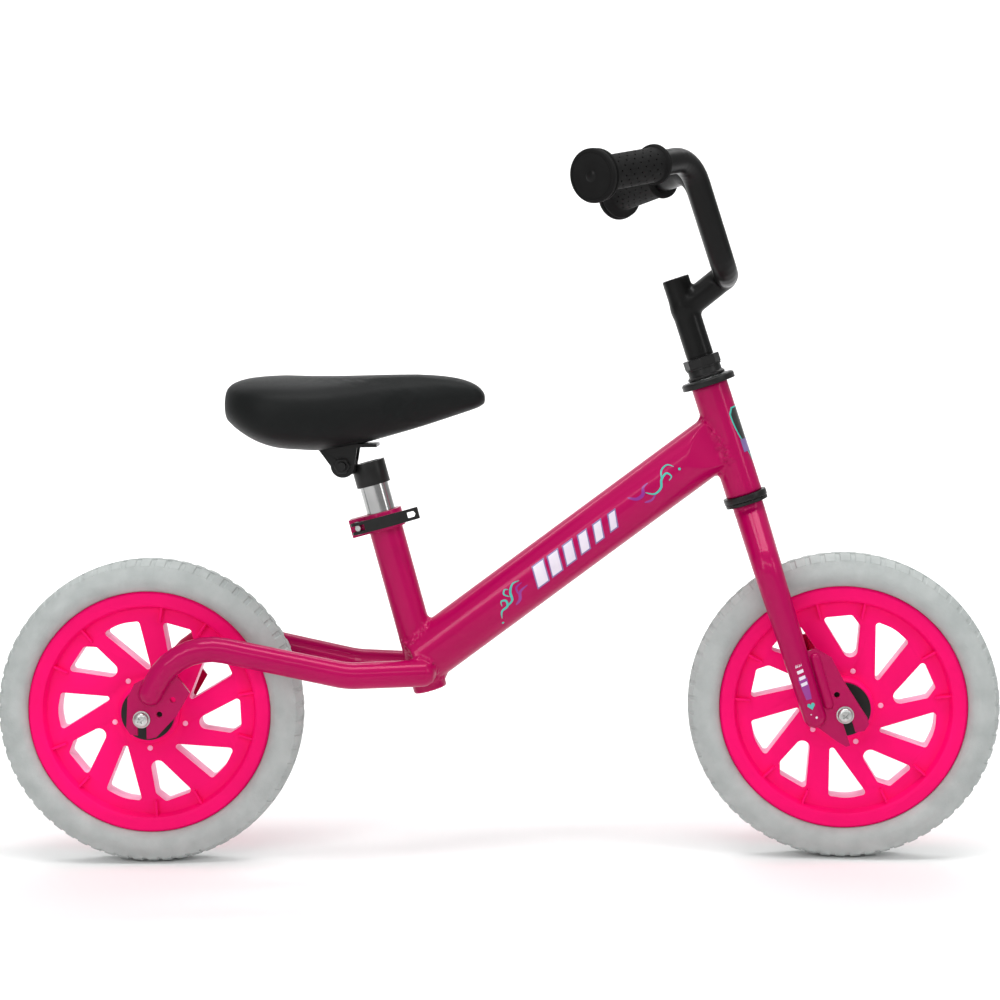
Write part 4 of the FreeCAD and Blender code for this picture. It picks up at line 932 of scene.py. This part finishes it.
# %% [markdown]
# ## Padded saddle
# The saddle is a foam pad under black grained vinyl on a moulded base. A copy of the measured
# cover and base is meshed evenly as one skin, blown up gently as cloth so that it is taut and
# crowned, held within 1.6 millimetres of where it began, and smoothed by one subdivision.

# %% Saddle cover
CLOTH_FRAMES = 14
LONGEST_MOVE = 1.6 * MM

deselect()
for source in (nodes["saddle_cover"], nodes["saddle_shell"]):
    half = twin(source, "saddle_pad")
    half.parent = None
    half.matrix_world = Matrix.Identity(4)
    half.modifiers.clear()
    half.select_set(True)
    bpy.context.view_layer.objects.active = half
bpy.ops.object.join()
pad = bpy.context.object
pad.name = pad.data.name = "saddle_pad"
choose(pad)
bpy.ops.object.mode_set(mode="EDIT")
bpy.ops.mesh.select_all(action="SELECT")
bpy.ops.mesh.remove_doubles(threshold=1e-6)
bpy.ops.object.mode_set(mode="OBJECT")
even = pad.modifiers.new("even_mesh", "REMESH")
even.mode = "VOXEL"
even.voxel_size = 3 * MM
bpy.ops.object.modifier_apply(modifier=even.name)
ease = pad.modifiers.new("ease", "SMOOTH")
ease.iterations = 12
ease.factor = 0.5
bpy.ops.object.modifier_apply(modifier=ease.name)
began = [v.co.copy() for v in pad.data.vertices]
cloth = pad.modifiers.new("taut_vinyl", "CLOTH")
cloth.settings.use_pressure = True
cloth.settings.uniform_pressure_force = 3
cloth.settings.effector_weights.gravity = 0
cloth.settings.quality = 6
cloth.settings.tension_stiffness = cloth.settings.compression_stiffness = 30
cloth.point_cache.frame_start = 1
cloth.point_cache.frame_end = CLOTH_FRAMES
for number in range(1, CLOTH_FRAMES + 1):
    bpy.context.scene.frame_set(number)
bpy.ops.object.modifier_apply(modifier=cloth.name)
bpy.context.scene.frame_set(1)
moved = 0.0
for vertex, start in zip(pad.data.vertices, began):
    shift = vertex.co - start
    if shift.length > LONGEST_MOVE:
        vertex.co = start + shift.normalized() * LONGEST_MOVE
    moved = max(moved, (vertex.co - start).length)
for vertex in pad.data.vertices:
    x, y, z = vertex.co / MM
    behind = min(max((-190 - x) / 50, 0), 1)
    below = min(max((436 - z) / 36, 0), 1)
    vertex.co.z += 9 * MM * behind * behind * below
finer = pad.modifiers.new("finer", "SUBSURF")
finer.levels = finer.render_levels = 1
bpy.ops.object.modifier_apply(modifier=finer.name)
pad.data.materials.clear()
pad.data.materials.append(VINYL)
bpy.ops.object.shade_smooth()
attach(pad, "saddle")
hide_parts("saddle_cover", "saddle_shell")
print("saddle pad:", len(pad.data.polygons), "faces, moved", round(moved / MM, 2), "mm")

# %% [markdown]
# ## Stickers
# Small stickers decorate the bike: curls and slanted bars on the down tube, a plain shield on
# the head tube, hearts and dots on the fork. Each is a fine grid laid out flat as a ribbon
# between two edges and then wrapped round its tube, a hair above the paint.


# %% Sticker helpers
def vinyl_print(name, colour, dark):
    """A glossy printed film in one colour."""
    return finish(name, colour, dark, (0.25, 0.38), 40, relief=(300, 0.1, 0.0001),
                  Coat_Weight=0.5, Coat_Roughness=0.08)


WHITE_PRINT = vinyl_print("white_print", (0.78, 0.72, 0.80), (0.70, 0.62, 0.74))
LILAC_PRINT = vinyl_print("lilac_print", (0.20, 0.13, 0.36), (0.16, 0.10, 0.30))
PURPLE_PRINT = vinyl_print("purple_print", (0.28, 0.005, 0.26), (0.22, 0.004, 0.22))
TEAL_PRINT = vinyl_print("teal_print", (0.05, 0.50, 0.42), (0.04, 0.40, 0.36))
BLACK_PRINT = vinyl_print("black_print", grey(0.012), grey(0.008))


def ribbon(upper, lower, wrap, lift, across=5):
    """A grid stretched between two edges of (along, around) millimetres, wrapped by wrap()."""
    deselect()
    count = len(upper)
    bpy.ops.mesh.primitive_grid_add(x_subdivisions=count - 1, y_subdivisions=across, size=1)
    obj = bpy.context.object
    for vertex in obj.data.vertices:
        column = round((vertex.co.x + 0.5) * (count - 1))
        share = vertex.co.y + 0.5
        u = lower[column][0] + (upper[column][0] - lower[column][0]) * share
        v = lower[column][1] + (upper[column][1] - lower[column][1]) * share
        vertex.co = wrap(u, v, lift)
    return obj


def sticker(name, ribbons, material, body):
    """Joins ribbons of one colour into one piece that rides on a body."""
    obj = joined(ribbons, name)
    bpy.ops.object.shade_smooth()
    obj.data.materials.clear()
    obj.data.materials.append(material)
    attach(obj, body)
    return obj


def tube_wrap(origin, along, outward, radius, far_radius=None, length=1.0):
    """A function from (along, around) in millimetres to a place on a tube's surface."""
    across = along.cross(outward).normalized()

    def wrap(u, v, lift):
        here = radius + ((far_radius or radius) - radius) * u / length + lift
        angle = v / here
        return (origin + along * u * MM
                + (outward * math.cos(angle) + across * math.sin(angle)) * here * MM)
    return wrap


def curl(points, widths, steps=40):
    """Both edges of a tapering ribbon along a smooth line through the points."""
    from_points = [Vector(p) for p in points]
    middle = []
    for step in range(steps + 1):
        t = step / steps * (len(points) - 1)
        k = min(int(t), len(points) - 2)
        f = t - k
        p0 = from_points[max(k - 1, 0)]
        p1, p2 = from_points[k], from_points[k + 1]
        p3 = from_points[min(k + 2, len(points) - 1)]
        middle.append(0.5 * ((2 * p1) + (p2 - p0) * f + (2 * p0 - 5 * p1 + 4 * p2 - p3) * f ** 2
                             + (3 * p1 - p0 - 3 * p2 + p3) * f ** 3))
    upper, lower = [], []
    for step, place in enumerate(middle):
        ahead = middle[min(step + 1, steps)] - middle[max(step - 1, 0)]
        normal = Vector((-ahead.y, ahead.x)).normalized()
        share = step / steps
        width = widths[0] + (widths[1] - widths[0]) * math.sin(math.pi * share ** 0.8)
        upper.append(place + normal * width / 2)
        lower.append(place - normal * width / 2)
    return upper, lower


def disc(centre, radius, steps=12):
    """Both edges of a round dot."""
    angles = [math.pi * n / steps for n in range(steps + 1)]
    upper = [(centre[0] - radius * math.cos(a), centre[1] + radius * math.sin(a)) for a in angles]
    lower = [(centre[0] - radius * math.cos(a), centre[1] - radius * math.sin(a)) for a in angles]
    return upper, lower


def heart(centre, size, steps=16):
    """Both edges of a heart whose point looks down the leg."""
    upper, lower = [], []
    for n in range(steps + 1):
        t = -1 + 2 * n / steps
        lower.append((centre[0] + size * (1 - abs(t)) * 1.1, centre[1] + size * t))
        lobe = math.sqrt(max(0.0, 0.25 - (abs(t) - 0.5) ** 2))
        upper.append((centre[0] - size * lobe * 1.3, centre[1] + size * t))
    return upper, lower


# %% Stickers on the down tube
down_up = Vector((-math.sin(math.radians(36)), 0, math.cos(math.radians(36))))
for side, label in ((-1, "right"), (1, "left")):
    wrap = tube_wrap(down_low, down_direction, Vector((0, side, 0)), 25.4)
    rising = wrap(100, 10, 0) - wrap(100, 0, 0)
    flip = 1 if rising.dot(down_up) > 0 else -1

    def laid(u, v, lift, wrap=wrap, flip=flip):
        return wrap(u, v * flip, lift)

    bars, edges = [], []
    for number in range(6):
        start = 134 + number * 17
        width = 11.5 - number * 0.9
        tall = 9.4 - number * 0.5

        def slanted(grow):
            xs = [start - grow + (width + 2 * grow) * n / 8 for n in range(9)]
            top = [(x + 3.6 + grow * 0.3, tall + grow) for x in xs]
            bottom = [(x - 3.6 - grow * 0.3, -tall - grow) for x in xs]
            return top, bottom

        bars.append(ribbon(*slanted(0), laid, 0.16, 10))
        edges.append(ribbon(*slanted(1.3), laid, 0.08, 10))
    sticker(f"{label}_bar_print", bars, WHITE_PRINT, "frame")
    sticker(f"{label}_bar_edges", edges, LILAC_PRINT, "frame")
    teal = [curl([(86, -13), (90, -7), (97, -6), (99, -1), (95, 1), (93, -3)], (0.5, 2.2)),
            curl([(97, -6), (104, -4), (107, 3), (113, 8), (120, 7)], (0.5, 2.4)),
            curl([(104, 0), (101, 5), (104, 8), (107, 6)], (0.4, 1.6)),
            curl([(262, 3), (268, -3), (276, -2), (281, 4), (288, 6), (290, 1), (286, -1)],
                 (0.5, 2.2)),
            curl([(281, 4), (286, 11), (293, 12), (297, 7)], (0.4, 1.8)),
            disc((300, 2), 1.3), disc((84, -18), 1.2)]
    purple = [curl([(104, -10), (110, -8), (115, -2), (124, -1)], (0.6, 3.0)),
              curl([(112, -4), (114, 3), (121, 4)], (0.5, 2.0)),
              curl([(246, 9), (252, 3), (259, 3), (263, 8), (269, 9)], (0.8, 3.4)),
              curl([(256, -4), (263, -6), (270, -3)], (0.6, 2.2))]
    sticker(f"{label}_teal_curls", [ribbon(*edge, laid, 0.1, 2) for edge in teal],
            TEAL_PRINT, "frame")
    sticker(f"{label}_purple_curls", [ribbon(*edge, laid, 0.06, 2) for edge in purple],
            PURPLE_PRINT, "frame")

# %% Shield on the head tube
head_up = (HEAD.to_3x3() @ Vector((0, 0, 1))).normalized()
head_front = (HEAD.to_3x3() @ Vector((1, 0, 0))).normalized()
shield = tube_wrap(HEAD.translation, head_up, head_front, 17)


SHIELD_LOW, SHIELD_HIGH = 30, 80


def shield_edges(grow):
    """Both edges of a shield that widens upwards, enlarged by the given millimetres."""
    span = SHIELD_HIGH - SHIELD_LOW
    heights = [SHIELD_LOW + span * n / 20 for n in range(21)]
    upper, lower = [], []
    for height in heights:
        share = (height - SHIELD_LOW) / span
        half = 17 * (0.25 + 0.75 * math.sin(min(share * 1.15, 1) * math.pi / 2)) + grow
        if share > 0.9:
            half -= (share - 0.9) * 40
        height = 55 + (height - 55) * (1 + grow * 0.04)
        upper.append((height, half))
        lower.append((height, -half))
    return upper, lower


sticker("shield_edge", [ribbon(*shield_edges(1.4), shield, 0.08, 24)], TEAL_PRINT, "frame")
sticker("shield_face", [ribbon(*shield_edges(0), shield, 0.16, 24)], BLACK_PRINT, "frame")
band = [(38 + 12 * n / 8, 15.5) for n in range(9)], [(38 + 12 * n / 8, -15.5) for n in range(9)]
sticker("shield_band", [ribbon(*band, shield, 0.24, 24)], LILAC_PRINT, "frame")

# %% Hearts and dots on the fork
for side, label in ((-1, "right"), (1, "left")):
    top, low = local(STEER, (0, side * 42, -64), (0, side * 43.2, -212))
    outward = (STEER.to_3x3() @ Vector((0, side, 0))).normalized()
    leg = tube_wrap(top, (low - top).normalized(), outward, 12.35, 10.6, 148)
    sticker(f"{label}_fork_hearts", [ribbon(*heart((58, 0), 3.4), leg, 0.14, 8),
                                     ribbon(*heart((134, 0), 3.6), leg, 0.14, 8)],
            TEAL_PRINT, "fork")
    patch = curl([(70, 0), (82, 0), (98, 0), (114, 0), (128, 0)], (5, 9.5))
    sticker(f"{label}_fork_patch", [ribbon(*patch, leg, 0.08, 8)], PURPLE_PRINT, "fork")
    marks = [disc((42, 1.5), 0.9), disc((64, -3), 0.7), disc((146, -1.5), 1.1),
             disc((142, 2.5), 0.6)]
    for number in range(5):
        u = 88 + number * 6
        marks.append(([(u + n, 3.0) for n in range(4)], [(u + n - 0.8, -3.0) for n in range(4)]))
    sticker(f"{label}_fork_marks", [ribbon(*edge, leg, 0.16, 6) for edge in marks],
            WHITE_PRINT, "fork")
print("sticker pieces on the down tube:",
      sum(1 for o in bpy.data.objects if "print" in o.name or "curl" in o.name))

# %% [markdown]
# ## Rounded edges on the carried-over pieces
# Moulded and pressed pieces never end in a knife edge. A live weld and a small bevel on each
# measured piece gives its edges the thin line of light that real ones show.

# %% Edge rounding
EDGE = {
    "seat_collar": 0.5, "release_lever": 0.5, "saddle_bracket": 0.3, "saddle_clamp": 0.4, "clamp_nut": 0.3,
    "saddle_clamp_nuts": 0.5, "clamp_washers": 0.5, "headset_locknut": 0.4, "lock_washer": 0.2,
    "adjusting_race": 0.3, "upper_cup": 0.4, "lower_cup": 0.4, "front_hub_covers": 0.5,
    "rear_hub_covers": 0.5, "front_washers": 0.2, "rear_washers": 0.2,
}
for name, width in EDGE.items():
    obj = nodes[name]
    weld = obj.modifiers.new("weld", "WELD")
    weld.merge_threshold = 1e-6
    bevel = obj.modifiers.new("edge", "BEVEL")
    bevel.width = width * MM
    bevel.segments = 2
    bevel.limit_method = "ANGLE"
    bevel.angle_limit = math.radians(40)
print("edges rounded on", len(EDGE), "pieces")
